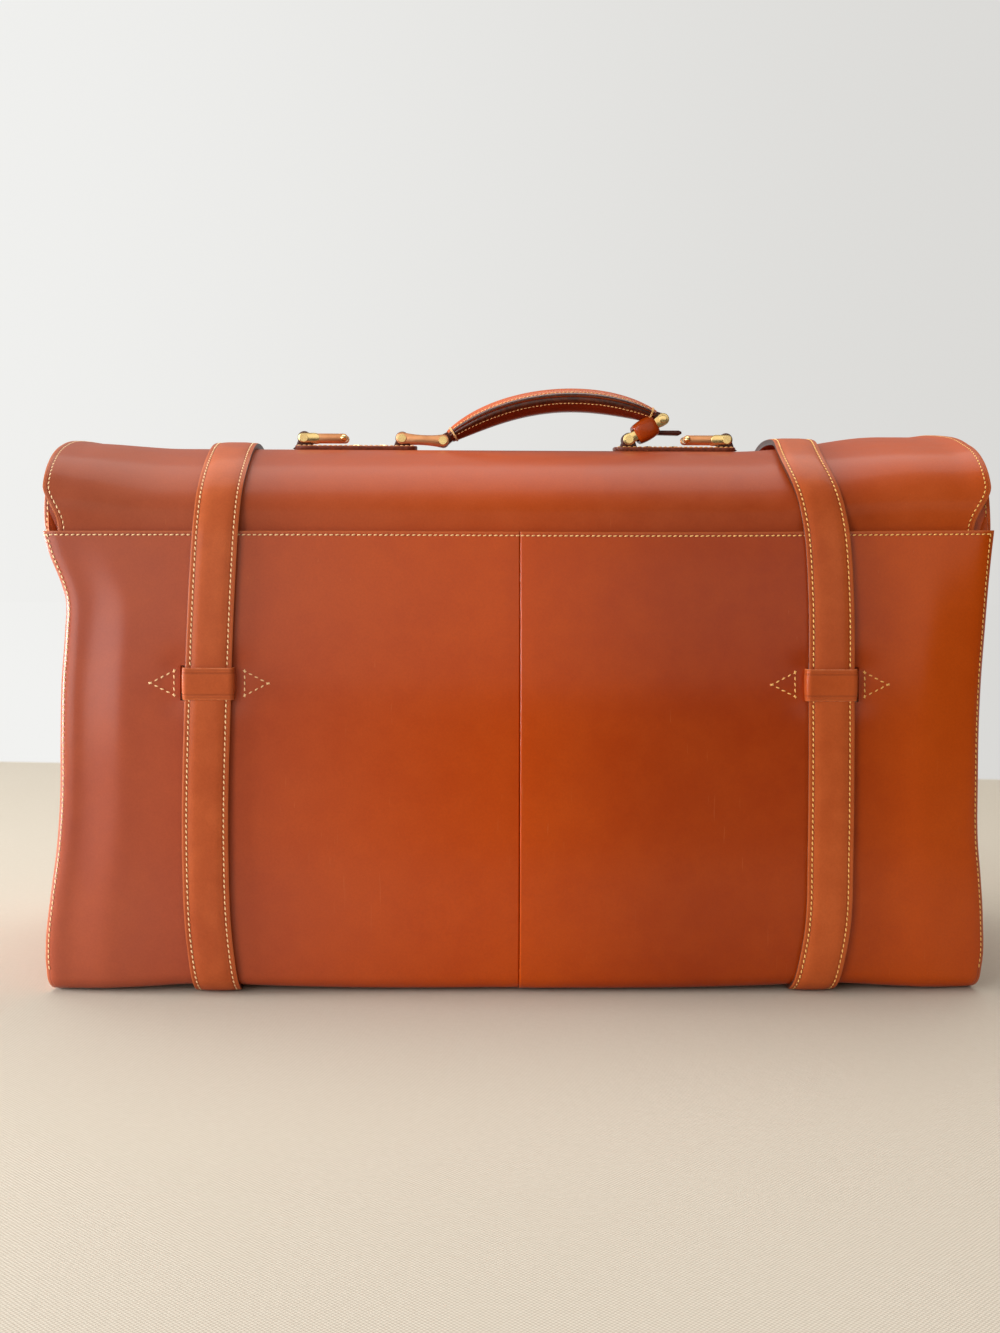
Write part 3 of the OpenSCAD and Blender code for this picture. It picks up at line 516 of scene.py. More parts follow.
# Body shape: one wrap of leather from the back under the base to the front, with gussets sewn to its edges
body = {
    "seamZ": boxOf("back_panel_left")[1][2], "frontTopZ": boxOf("front_panel")[1][2],
    "leftEdge": [(0, 291.5), (5, 294.5), (16, 296.6), (30, 296.8), (58, 293.9), (90, 289.6), (121, 287.3),
                 (160, 286.8), (195, 286.0), (225, 283.8), (246, 283.4), (258, 287.2), (272, 293.2),
                 (287, 297.5), (330, 299)],
    "rightEdge": [(0, 288), (5, 291.6), (16, 294.2), (45, 294.6), (70, 293), (95, 290.8), (134, 290.4),
                  (172, 290.7), (197, 291.7), (228, 293.9), (255, 296.1), (272, 297.8), (287, 299.5),
                  (330, 300)],
    "baseDepth": 117.5, "seamDepth": 103.0,
    "shoulder": 4.0, "shoulderReach": 3.2, "crown": 2.6, "crownFrom": 10, "crownReach": 120.0,
    "dent": 0.9, "dentReach": 11.0, "dentX": 194.5, "dentHalfX": 17, "dentHalfZ": 8,
    "ripple": 0.55, "wavesAcross": (61, 1.3, 190), "wavesUp": (74, 0.6, 260),
    "backRise": [(0, 0.5), (14, 0.65), (60, 0.95), (120, 1.0), (200, 0.96), (245, 0.66), (272, 0.3),
                 (287, 0.08), (330, 0)],
    "frontRise": [(0, 0.4), (14, 0.5), (60, 0.6), (150, 0.7), (230, 0.5), (270, 0.2), (298, 0.0), (330, 0)],
    "under": [(0, 1.7), (110, 2.0), (160, 3.4), (178, 4.2), (212, 4.2), (232, 2.8), (262, 1.2), (300, 0.7)],
    "turn": 10.0, "leather": 2.8, "seamRound": 1.1, "seamHollow": 0.25, "seamReach": 9,
    "leftPillow": (12, 42, 3.4), "rightPillow": (-8, 44, 6.4),
    "seamClimb": [(-300, 1.6), (-100, 2.2), (100, 2.2), (300, 4.2)], "climbFrom": 200.0,
    "stitchInset": 2.4, "rimScale": 1.4, "coreEnd": 272,
}
straps = {
    "place": 194.0, "width": 28.6, "thickness": 4.0, "gap": 0.3, "stitchInset": 3.2, "crown": 0.5,
    "lowest": 0.6, "pull": 0.28, "edgeFall": 0.35, "tip": 15, "slotShare": 0.4,
    "leftDrift": [(0, 5.5), (40, 1), (91, -0.7), (193, 1.3), (287, 4.2), (352, 6.5), (420, 4), (520, 0)],
    "rightDrift": [(0, -9), (40, -2), (91, -0.8), (193, -1.0), (250, -0.6), (287, -1.5), (352, -10),
                   (420, -4), (520, 0)],
    "overX": 190.0, "restOut": 15.0,
}
keepers = {
    "z": 194.8, "height": 20.0, "slotWidth": 3.1, "slotX": 15.1, "slotSlack": 0.8,
    "band": 1.5, "bandHalf": 15.8, "bandTurn": 2.2, "bandFoot": 3.4, "bandOver": 1.8,
    "tab": 1.2, "tabNear": 6.8, "tabFar": 21.4, "tabHalf": 7.5, "tabX": (20, 30, 42),
    "tabReach": (10.0, 11.0, 6.0, 1.0),
}
slotLow = keepers["z"] - keepers["height"] / 2 - keepers["slotSlack"]
slotHigh = keepers["z"] + keepers["height"] / 2 + keepers["slotSlack"]


def edgeAt(side, z):
    return curveThrough(body["leftEdge" if side < 0 else "rightEdge"], z)


def insetAt(x, z):
    left, right = edgeAt(-1, z), edgeAt(1, z)
    return np.maximum(np.where(x < 0, left + x, right - x), 0)


def planeDepth(z):
    return body["baseDepth"] - (body["baseDepth"] - body["seamDepth"]) * z / body["seamZ"]


def wallDepth(x, z, front=False):
    # how far the leather stands from the middle plane of the bag
    inset = insetAt(x, z)
    left, right = [high * (smooth(start, end, inset) - smooth(start, end, 0))
                   for start, end, high in (body["leftPillow"], body["rightPillow"])]
    edge = body["shoulder"] * (1 - np.exp(-inset / body["shoulderReach"]))
    crown = body["crown"] * smooth(body["crownFrom"], body["crownReach"], inset)
    middle = crown + np.where(x < 0, left, right)
    rise = curveThrough(body["frontRise" if front else "backRise"], z)
    depth = planeDepth(z) + middle * rise
    depth = depth + (edge - body["shoulder"]) * (0.4 + 0.6 * rise) + body["shoulder"] * rise
    (long, shift, lean), (tall, lead, drift) = body["wavesAcross"], body["wavesUp"]
    ripple = np.sin(x / long + shift + z / lean) * np.sin(z / tall + lead + x / drift)
    ripple = ripple * smooth(6, 60, inset) * smooth(6, 40, z) * smooth(0, 30, body["seamZ"] - z)
    depth = depth + body["ripple"] * ripple
    if not front:
        beside = np.abs(x)
        radius = body["seamRound"]
        near = np.clip(beside, 0, radius)
        depth = depth - (radius - np.sqrt(np.maximum(radius**2 - (radius - near) ** 2, 0)))
        depth = depth - body["seamHollow"] * (1 - smooth(0, body["seamReach"], beside))
        toSlot = np.hypot(np.abs(beside - body["dentX"]) - body["dentHalfX"],
                          np.maximum(np.abs(z - keepers["z"]) - body["dentHalfZ"], 0))
        depth = depth - body["dent"] * np.exp(-((toSlot / body["dentReach"]) ** 2))
    return depth


def underZ(x):
    return curveThrough(body["under"], np.abs(x))


def backFace(x, z):
    # the sewn top edge climbs a little towards the right
    climb = curveThrough(body["seamClimb"], x) * smooth(body["climbFrom"], body["seamZ"], z)
    return np.stack([x + 0 * z, -wallDepth(x, z), z + climb], -1)


def turnedFace(x, angle, front=False, offset=0.0):
    # bottom edge turned under, angle from 0 at the wall to 90 at the base
    start = underZ(x) + body["turn"]
    depth = wallDepth(x, start, front)
    radius = body["turn"] - offset
    y = depth - body["turn"] + radius * np.cos(np.radians(angle))
    z = start - radius * np.sin(np.radians(angle))
    return np.stack([x + 0 * angle, y if front else -y, z], -1)


def columnsTo(edge, core, steps):
    # fixed columns inside and stretched ones out to the edge
    share = np.linspace(0, 1, steps + 1)[1:] ** 0.8
    return np.concatenate([core, core[-1] + (edge - core[-1]) * share])


def columnsBetween(left, right, core, steps):
    # columns from the left edge to the right one, with the fixed ones on both sides of the middle
    outLeft = -columnsTo(left, core, steps)[:len(core) - 1:-1]
    outRight = columnsTo(right, core, steps)[len(core):]
    return np.concatenate([outLeft, -core[:0:-1], core, outRight])


def turnHeight(angle):
    # height at which the edge's width is read for a row of the turned bottom edge
    return body["turn"] * (1 - math.sin(math.radians(angle))) * 0.9 + 2


def strapX(side, run):
    # middle of a strap; run is the height up the back and goes on over the flap
    return side * straps["place"] + curveThrough(straps["leftDrift" if side < 0 else "rightDrift"], run)


stitchRuns = {"case": [], "cover": [], "handle": []}


def sew(group, points, normals, lift=0.12):
    stitchRuns[group].append((points + normals * lift, normals))


def sewBack(x, z):
    x, z = np.broadcast_arrays(np.asarray(x, float), np.asarray(z, float))
    sew("case", backFace(x, z), faceNormals(backFace, x, z, 1))


def clearOf(places, marks):
    # leaves out the places that lie close to a mark but not on it
    near = np.min(np.abs(places[:, None] - np.asarray(marks)[None]), axis=1)
    return places[(near < 0.01) | (near > 1.0)]


def makeBackHalf(side):
    tag = sideName(side)
    keeperX = strapX(side, keepers["z"])
    slotSpan = keepers["slotX"] + np.array([0, keepers["slotWidth"]])
    slots = np.abs(keeperX) + np.array([-1, 1])[:, None] * slotSpan
    slotEdges = np.sort(slots.reshape(-1))
    besideSeam = [0.12, 0.25, 0.45, 0.75, 1.1, 1.6, 2.5, 4.0, 6.5, 9.0]
    core = clearOf(merged(besideSeam, spread(12, body["coreEnd"], 4.2), slotEdges), slotEdges)
    underRim = body["seamZ"] - np.array([0.8, 1.6, 2.4, 3.2])
    heights = merged(spread(body["seamZ"], 15.0, 4.2)[:-1], [slotLow, slotHigh], underRim)
    heights = clearOf(heights, [slotLow, slotHigh])[::-1]
    rows, distance = [], []
    for z in heights:
        x = side * columnsTo(edgeAt(side, z), core, 9)
        rows.append(backFace(x, np.full(x.shape, z)))
        distance.append(np.minimum(insetAt(x, z), body["seamZ"] - z))
    for angle in np.linspace(0, 90, 9):
        z = turnHeight(angle)
        x = side * columnsTo(edgeAt(side, z), core, 9)
        rows.append(turnedFace(x, np.full(x.shape, angle)))
        distance.append(insetAt(x, z))
    grid, distance = np.array(rows), np.array(distance) * body["rimScale"]
    keep = np.ones((grid.shape[0] - 1, grid.shape[1] - 1), bool)
    middleX = np.abs(grid[0, :-1, 0] + grid[0, 1:, 0]) / 2
    middleZ = (grid[:-1, 0, 2] + grid[1:, 0, 2]) / 2
    inHeight = ((middleZ > slotLow) & (middleZ < slotHigh))[:, None]
    for low, high in slots:
        keep &= ~(((middleX > low) & (middleX < high))[None, :] & inHeight)
    made, _ = sheet("back" + tag.capitalize(), grid, body["leather"], (0, 0, 150), [bodyLeather, edgeTan],
                    keep=keep, rimDistance=distance, rim=0.5)
    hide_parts("back_panel_" + tag)
    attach(made, "case")
    z = spread(body["seamZ"] - 3, 16, 6)
    sewBack(side * (edgeAt(side, z) - body["stitchInset"]), z)
    x = side * spread(1.5, 295.5, 6)
    sewBack(x, np.full(x.shape, body["seamZ"] - body["stitchInset"]))


def makeFront():
    core = spread(0, body["coreEnd"], 5)
    rows, distance = [], []
    for z in spread(body["frontTopZ"], 15.0, 5)[:-1]:
        x = columnsBetween(edgeAt(-1, z), edgeAt(1, z), core, 8)
        rows.append(np.stack([x, wallDepth(x, z, True), np.full(x.shape, z)], -1))
        distance.append(np.minimum(insetAt(x, z), body["frontTopZ"] - z))
    for angle in np.linspace(0, 90, 9):
        z = turnHeight(angle)
        x = columnsBetween(edgeAt(-1, z), edgeAt(1, z), core, 8)
        rows.append(turnedFace(x, np.full(x.shape, angle), True))
        distance.append(insetAt(x, z))
    made, _ = sheet("frontPanel", np.array(rows), body["leather"], (0, 0, 150), [bodyLeather, edgeTan],
                    rimDistance=np.array(distance), rim=0.5)
    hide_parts("front_panel")
    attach(made, "case")
    for side in (-1, 1):
        z = spread(body["frontTopZ"] - 3, 16, 6)
        x = side * (edgeAt(side, z) - gussets["stitchInset"])
        points = np.stack([x, wallDepth(x, z, True), z], -1)
        sew("case", points, np.broadcast_to([side * 0.3, 0.95, 0], points.shape))
    x, z = spread(-293, 293, 6), body["frontTopZ"] - 3
    points = np.stack([x, wallDepth(x, z, True), np.full(x.shape, z)], -1)
    sew("case", points, np.broadcast_to([0, 1.0, 0], points.shape))


def makeBase():
    x = columnsBetween(edgeAt(-1, 2), edgeAt(1, 2), spread(0, body["coreEnd"], 5), 8)
    under = np.full(x.shape, 90.0)
    lowBack, lowFront = turnedFace(x, under), turnedFace(x, under, True)
    share = np.linspace(0, 1, 40)[:, None, None]
    grid = lowBack[None] * (1 - share) + lowFront[None] * share
    made, _ = sheet("basePanel", grid, body["leather"], (0, 0, 150), [bodyLeather, edgeTan],
                    rimDistance=np.broadcast_to(insetAt(x, 2), grid.shape[:2]), rim=0.5)
    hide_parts("base_panel")
    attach(made, "case")


def wrapRun(side, inset, offset, backTop, frontTop):
    # line along the wrap at a distance in from its edge and a depth behind its face
    run = []
    for front, top in ((False, backTop), (True, frontTop)):
        z = spread(top, 14, 5)[:-1]
        x = side * (edgeAt(side, z) - inset)
        y = wallDepth(x, np.minimum(z, body["seamZ"] if not front else 400), front) - offset
        wall = np.stack([x, y if front else -y, z], -1)
        angle = np.linspace(0, 90, 7)
        low = np.full(angle.shape, side * (edgeAt(side, 5) - inset))
        turned = turnedFace(low, angle, front, offset)
        piece = np.concatenate([wall, turned])
        run.append(piece[::-1] if front else piece)
    share = np.linspace(0, 1, 26)[1:-1, None]
    across = run[0][-1] * (1 - share) + run[1][0] * share
    return np.concatenate([run[0], across, run[1]])


gussets = {
    "leather": 2.4, "inset": 8.0, "sag": 1.6, "flare": 5.5, "flareReach": 3.2,
    "backTop": 309.0, "frontTop": 297.0, "dip": 9.0, "clear": 1.4, "lean": 0.45,
    "stitchInset": 2.6, "flangeOut": 0.4, "flangeClear": 0.1,
}


def makeGusset(side):
    tag = sideName(side)
    insets = np.array([0, 1.2, 2.6, 4.0, 6.0, 8.0, 10.0, 12.0])
    behind = body["leather"] + gussets["flangeClear"]
    backTop, frontTop = body["seamZ"] - 4, body["frontTopZ"] - 1
    band = np.stack([wrapRun(side, inset + gussets["flangeOut"], behind, backTop, frontTop)
                     for inset in insets], 1)
    flange, _ = sheet("gussetFlange", band, gussets["leather"], (side * 250, 0, 150),
                      [gussetLeather, edgeTan], rimDistance=np.broadcast_to(insets, band.shape[:2]), rim=0.4)
    closer = np.exp(-np.linspace(0, 4, 12)) * 12
    share = merged(spread(0, 200, 4.5), closer, 200 - closer) / 100 - 1
    rise = merged(spread(0, 280, 6), closer) / 280
    turn, inside = body["turn"] - 3, body["leather"] + gussets["clear"]
    rows = []
    for v in rise:
        topZ = (gussets["backTop"] + (gussets["frontTop"] - gussets["backTop"]) * (share + 1) / 2
                - gussets["dip"] * (1 - share**2))
        bottom = underZ(edgeAt(side, 5) - 10) + body["leather"] + 1.0
        z = bottom + (topZ - bottom) * v
        flat = side * (edgeAt(side, z) - gussets["inset"])
        lowest = bottom + turn
        pull = np.where(z < lowest, turn - np.sqrt(np.maximum(turn**2 - (lowest - z) ** 2, 0)), 0)
        back = wallDepth(flat, np.clip(z, 14, body["seamZ"])) - inside - pull
        back = np.where(z > body["seamZ"], back - (z - body["seamZ"]) * gussets["lean"], back)
        front = wallDepth(flat, np.clip(z, 14, body["frontTopZ"]), True) - inside - pull
        y = np.where(share < 0, -back, front) * np.abs(share)
        border = np.minimum(np.where(share < 0, back, front) * (1 - np.abs(share)), z - bottom)
        waist = 0.55 + 0.45 * np.sin(np.clip(z / 290, 0, 1) * math.pi)
        hollow = gussets["sag"] * (1 - share**2) ** 0.8 * smooth(0, 90, z - bottom) * waist
        x = flat - side * (hollow - gussets["flare"] * np.exp(-np.maximum(border, 0) / gussets["flareReach"]))
        rows.append(np.stack([x, y, z], -1))
    wall, _ = sheet("gussetWall", np.array(rows), gussets["leather"], (side * 200, 0, 150),
                    [gussetLeather, edgeTan], rim=0.4)
    made = joined("gusset" + tag.capitalize(), [flange, wall])
    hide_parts("gusset_" + tag)
    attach(made, "case")
    stitched = wrapRun(side, gussets["stitchInset"], behind + gussets["leather"], body["seamZ"] - 6,
                       body["frontTopZ"] - 4)
    centre = np.array([side * 260, 0, 140])
    normals = unit((centre - stitched) * np.array([0, 1, 1]))
    sew("case", stitched, normals)


for side in (-1, 1):
    makeBackHalf(side)
    makeGusset(side)
makeFront()
makeBase()
print("body made")

# Flap: an arch that sags in the middle and stands squarer at its ends
cover = {
    "seamZ": body["seamZ"], "rear": 103.0, "front": boxOf("flap")[1][1], "rise": 59.0,
    "middlePower": 2.0, "rearPower": 2.6, "frontPower": 3.2, "leftRise": 60.5, "rightRise": 64.0,
    "leftTilt": 0.045, "rightTilt": 0.105,
    "leftFrom": 225.0, "leftTo": 292.0, "rightFrom": 148.0, "rightTo": 262.0,
    "tuck": 3.0, "tuckReach": 24.0, "curl": 1.6, "leather": 2.8,
    "leftSeam": 288.5, "rightSeam": 287.0, "end": 298.4, "earTurn": 24.0,
    "lipDrop": 37.0, "lipCorner": 30.0, "stitchInset": 3.6, "seamRows": (9.0, 5.0, 1.5),
}


def coverEnd(side, turn):
    seam = cover["leftSeam"] if side < 0 else cover["rightSeam"]
    return seam + (cover["end"] - seam) * smooth(1.0, cover["earTurn"], turn)


def coverFace(x, turn):
    # outer face: turn is 0 at the back seam, 90 at the crown and 180 at the front, and then goes down the lip
    x, turn = np.broadcast_arrays(np.asarray(x, float), np.asarray(turn, float))
    over = np.minimum(turn, 180)
    c, s = np.cos(np.radians(over)), np.sin(np.radians(over))
    ends = np.where(x < 0, smooth(cover["leftFrom"], cover["leftTo"], -x),
                    smooth(cover["rightFrom"], cover["rightTo"], x))
    reach = np.where(over < 90, cover["rear"], cover["front"])

    def arch(power, rise):
        return (-reach * np.sign(c) * np.abs(c) ** (2 / power), rise * np.maximum(s, 0) ** (2 / power))

    midY, midZ = arch(cover["middlePower"], cover["rise"])
    endY, endZ = arch(np.where(over < 90, cover["rearPower"], cover["frontPower"]),
                      np.where(x < 0, cover["leftRise"], cover["rightRise"]))
    y = midY + (endY - midY) * ends
    z = cover["seamZ"] + midZ + (endZ - midZ) * ends
    tilt = np.where(x < 0, cover["leftTilt"], cover["rightTilt"])
    z = z + ends * tilt * np.maximum(y + 50, 0) * smooth(0, 40, z - cover["seamZ"])
    z = z - np.maximum(turn - 180, 0)
    y = y + np.where(over < 90, cover["tuck"] * (1 - smooth(2, cover["tuckReach"], z - cover["seamZ"])), 0)
    atEnds = smooth(282, 298, np.abs(x)) * smooth(12, 34, over) * smooth(0, 30, 190 - turn)
    curl = cover["curl"] * atEnds
    outY, outZ = -c * 0.8, np.maximum(s, 0.1)
    return np.stack([x, y + curl * outY, z + curl * outZ], -1)


def lipLength(x):
    # length of the lip below the seam level, with rounded corners
    corner = cover["lipCorner"]
    past = np.clip(np.abs(x) - (cover["end"] - corner), 0, corner)
    return cover["lipDrop"] - corner + np.sqrt(np.maximum(corner**2 - past**2, 0))


def makeCover():
    core = merged(spread(0, 230, 5.5), spread(230, 268, 4.2))
    turns = np.concatenate([np.linspace(0, 30, 17), np.linspace(30, 90, 27)[1:],
                            np.linspace(90, 180, 42)[1:]])
    rows, distance = [], []
    for turn in np.concatenate([-np.array(cover["seamRows"]), turns]):
        place = max(turn, 0)
        x = columnsBetween(coverEnd(-1, place), coverEnd(1, place), core, 10)
        row = coverFace(x, place)
        if turn < 0:
            row[:, 2] += turn
            row[:, 1] -= -turn * (body["baseDepth"] - body["seamDepth"]) / body["seamZ"]
        rows.append(row)
        distance.append(np.minimum(coverEnd(-1, place) + x, coverEnd(1, place) - x))
    x = columnsBetween(cover["end"], cover["end"], core, 10)
    for share in np.linspace(0, 1, 12)[1:]:
        rows.append(coverFace(x, 180 + lipLength(x) * share))
        distance.append(np.minimum(cover["end"] - np.abs(x), lipLength(x) * (1 - share)))
    made, _ = sheet("flap", np.array(rows), cover["leather"], (0, 0, 260), [flapLeather, edgeTan],
                    rimDistance=np.array(distance), rim=0.5)
    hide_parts("flap")
    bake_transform(made)
    inset, straight = cover["stitchInset"], cover["lipDrop"] - cover["lipCorner"]
    for side in (-1, 1):
        turn = np.concatenate([np.linspace(1.5, 180, 120), 180 + np.linspace(0, straight, 4)[1:]])
        x = side * (coverEnd(side, np.minimum(turn, 180)) - inset)
        sew("cover", coverFace(x, turn), faceNormals(coverFace, x, turn, -1))
    angle = np.radians(np.linspace(0, 90, 12))
    corner = cover["lipCorner"] - inset
    cornerX = cover["end"] - cover["lipCorner"] + corner * np.cos(angle)
    cornerLip = straight + corner * np.sin(angle)
    between = spread(cornerX[-1], -cornerX[-1], 8)[1:-1]
    x = np.concatenate([cornerX, between, -cornerX[::-1]])
    lip = np.concatenate([cornerLip, np.full(len(between), cornerLip[-1]), cornerLip[::-1]])
    sew("cover", coverFace(x, 180 + lip), np.broadcast_to([0, 1.0, 0], (len(x), 3)))


coverLining = {"halfX": 286, "depth": 4.3, "deeper": 0.9, "thickness": 0.8}


def makeCoverLining():
    x = spread(-coverLining["halfX"], coverLining["halfX"], 5)
    rows = [coverFace(x, turn) for turn in np.linspace(16, 168, 110)]
    grid = np.array(rows)
    normals = unit(np.cross(np.gradient(grid, axis=0), np.gradient(grid, axis=1)))
    normals *= np.sign(np.mean(np.sum(normals * (grid - np.array([0, 0, 260])), axis=2)))
    # it lies deeper where the backing plates of the handle are
    atPlates = smooth(56, 64, np.abs(x)) * (1 - smooth(152, 160, np.abs(x)))
    depth = coverLining["depth"] + coverLining["deeper"] * atPlates
    face = grid - normals * depth[None, :, None]
    made, _ = sheet("flapLining", face, coverLining["thickness"], (0, 0, 260),
                    [liningCloth, liningCloth], rim=0)
    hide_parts("flap_lining")
    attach(made, "flap")


makeCover()
makeCoverLining()
print("flap made")

# Yoke behind the seam, with taller wings that show past the ears of the flap
yoke = {
    "behind": 6.6, "lean": 4.6, "leanReach": 30, "leather": 2.4, "low": 263, "top": 290.5, "halfX": 277.5,
    "wingTop": 315.5, "wingIn": 278.5, "wingOut": 299.2, "wingClear": 0.7, "stitchX": 296.2,
}


def yokeFace(z):
    share = np.maximum((z - body["seamZ"]) / yoke["leanReach"], 0.0)
    return -(planeDepth(z) - yoke["behind"]) + yoke["lean"] * share**2


def makeYoke(name, node, xs, top, wing=False):
    rows, distance = [], []
    for z in spread(yoke["low"], top, 3):
        row, rim = xs, np.full(xs.shape, farFromRim)
        if wing:
            reach = np.where(xs < 0, edgeAt(-1, z), edgeAt(1, z)) - yoke["wingClear"]
            row = np.sign(xs) * np.minimum(np.abs(xs), reach - (yoke["wingOut"] - np.abs(xs)) * 0.5)
            rim = np.minimum(reach - np.abs(row), top - z)
        rows.append(np.stack([row, np.full(xs.shape, yokeFace(z)), np.full(xs.shape, z)], -1))
        distance.append(rim)
    made, _ = sheet(name, np.array(rows), yoke["leather"], (0, 0, 260), [bodyLeather, edgeTan],
                    rimDistance=np.array(distance), rim=0.4)
    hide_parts(node)
    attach(made, "case")


makeYoke("backYoke", "back_yoke", spread(-yoke["halfX"], yoke["halfX"], 12), yoke["top"])
for side in (-1, 1):
    xs = np.sort(side * spread(yoke["wingIn"], yoke["wingOut"], 2.2))
    tag = sideName(side)
    makeYoke("yokeWing" + tag.capitalize(), "yoke_wing_" + tag, xs, yoke["wingTop"], wing=True)
    z = spread(289, 313, 4)
    points = np.stack([np.full(z.shape, side * yoke["stitchX"]), yokeFace(z), z], -1)
    sew("case", points, np.broadcast_to([0, -1.0, 0.1], points.shape))


# Hidden layers: boards, strip behind the seam, facing and cloth lining
def makeWallLayer(name, node, halfX, low, high, offset, thickness, front, material, gap=0.0):
    x = spread(-halfX, halfX, 9)
    way = 1 if front else -1
    grid = np.array([np.stack([x, (wallDepth(x, z, front) - offset) * way, np.full(x.shape, z)], -1)
                     for z in spread(high, low, 9)])
    keep = None
    if gap:
        middle = np.abs(x[1:] + x[:-1]) / 2
        keep = np.broadcast_to(middle > gap, (grid.shape[0] - 1, len(x) - 1)).copy()
    made, _ = sheet(name, grid, thickness, (0, 0, 150), [material, material], keep=keep, rim=0)
    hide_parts(node)
    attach(made, "case")


makeWallLayer("backBoard", "back_interlining", 272, 14, 258, 3.6, 1.6, False, boardGrey, gap=11)
makeWallLayer("frontBoard", "front_interlining", 272, 14, 264, 3.1, 1.8, True, boardGrey)
makeWallLayer("seamStrip", "seam_backing", 8, 14, 258, 5.8, 1.2, False, darkLeather)
makeWallLayer("frontFacing", "front_facing", 276, 268.5, 297.5, 3.0, 1.6, True, strapLeather)

lining = {
    "low": 10.6, "top": 258.0, "sideIn": 14.0, "wallIn": 8.4, "corner": 14.0, "thickness": 0.8, "sag": 9.5,
    "foldRise": 11, "foldIn": 0.03,
}


def makeLining():
    def ring(z, shrink=1.0):
        level = max(z, 14.0)
        left, right = edgeAt(-1, level) - lining["sideIn"], edgeAt(1, level) - lining["sideIn"]
        deep = planeDepth(level) - lining["wallIn"]
        points = roundedBox(-left, right, -deep, deep, lining["corner"], 6)
        closed = np.array(points + points[:1])
        length = lengthAlong(closed)
        at = np.linspace(0, length[-1], 161)[:-1]
        points = np.stack([np.interp(at, length, closed[:, k]) for k in (0, 1)], 1)
        inward = np.sin(np.clip((level - 14) / 240, 0, 1) * math.pi)
        ends = smooth(250, 275, np.abs(points[:, 0]))
        points[:, 0] *= 1 - ends * inward * lining["sag"] / 275 * (1 - (points[:, 1] / deep) ** 2)
        return np.column_stack([points * shrink, np.full(len(points), z)])

    rings = [ring(z) for z in spread(lining["top"], 22, 9)]
    for a in np.linspace(0.2, math.pi / 2, 5):
        z = lining["low"] + lining["foldRise"] * (1 - math.sin(a))
        rings.append(ring(z, 1 - lining["foldIn"] * (1 - math.cos(a))))
    rings += [ring(lining["low"], shrink) for shrink in (0.9, 0.75, 0.55, 0.35, 0.15, 0.02)]
    made, _ = sheet("bodyLining", np.array(rings), lining["thickness"], (0, 0, 150),
                    [liningCloth, liningCloth], rim=0, closed=True)
    finishMesh(made.data, merge=0.01)
    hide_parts("body_lining")
    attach(made, "case")


makeLining()
nodeObjects["base_board"].data.materials.clear()
nodeObjects["base_board"].data.materials.append(boardGrey)
print("inner layers made")


# Straps: a lower run round the base, and an upper run up the back and over the flap
def bodyLine(x, low, high, front):
    z = spread(high, low, 3)
    y = wallDepth(np.full(z.shape, x), z, front)
    return np.stack([y if front else -y, z], -1)


def smoothed(path, passes):
    for _ in range(passes):
        path[1:-1] = path[1:-1] * 0.5 + (path[:-2] + path[2:]) * 0.25
    return path


def resampled(path, step):
    length = lengthAlong(path)
    at = spread(0, length[-1], step)
    return np.stack([np.interp(at, length, path[:, k]) for k in range(path.shape[1])], -1)


def strapGrid(side, path, runStart, runWay):
    # grid of the outer face of a strap along a (y, z) path; run gives its drift sideways
    half = straps["width"] / 2
    outer = np.array([0.15, 0.4, 0.66, 0.74, 0.8, 0.86, 0.93, 0.985, 1])
    across = np.concatenate([-outer[::-1], [0], outer]) * half
    centre = strapX(side, runStart + runWay * lengthAlong(path))
    normal = outwardNormals(path, (0, 200))
    reach = np.abs(across) / half
    fromStitches = half - np.abs(across) - straps["stitchInset"]
    bow = straps["crown"] * (1 - smooth(0.5, 0.82, reach))
    bow = bow - straps["pull"] * np.exp(-((fromStitches / 0.8) ** 2))
    bow = bow - straps["edgeFall"] * smooth(0.93, 1.0, reach)
    grid = np.zeros((len(path), len(across), 3))
    grid[:, :, 0] = centre[:, None] + across[None]
    grid[:, :, 1:] = path[:, None, :] + normal[:, None, :] * bow[None, :, None]
    return grid, across


def makeStrap(side, name, path, runStart, runWay, tip=0.0, slotRows=0):
    grid, across = strapGrid(side, path, runStart, runWay)
    half = straps["width"] / 2
    if tip:
        length = lengthAlong(path)
        left = (length[-1] - length) / tip
        narrow = np.clip(left * 0.88 + 0.12, 0.12, 1)
        centre = grid[:, len(across) // 2, 0][:, None]
        grid[:, :, 0] = centre + (grid[:, :, 0] - centre) * narrow[:, None]
    distance = np.broadcast_to(half - np.abs(across), grid.shape[:2])
    keep = np.ones((grid.shape[0] - 1, grid.shape[1] - 1), bool)
    if slotRows:
        keep[-slotRows:, np.abs(across[1:] + across[:-1]) < straps["slotShare"] * half] = False
    made, normals = sheet(name, grid, straps["thickness"] - 0.2, (side * straps["place"], 0, 180),
                          [strapLeather, edgeDark], keep=keep, rimDistance=distance, rim=1.0)
    return made, grid, normals, across


def sewStrap(group, grid, normals, across, start=0, end=None):
    half = straps["width"] / 2
    for edge in (-1, 1):
        at = edge * (half - straps["stitchInset"])
        k = int(np.argmin(np.abs(across - at)))
        sew(group, grid[start:end, k], normals[start:end, k])


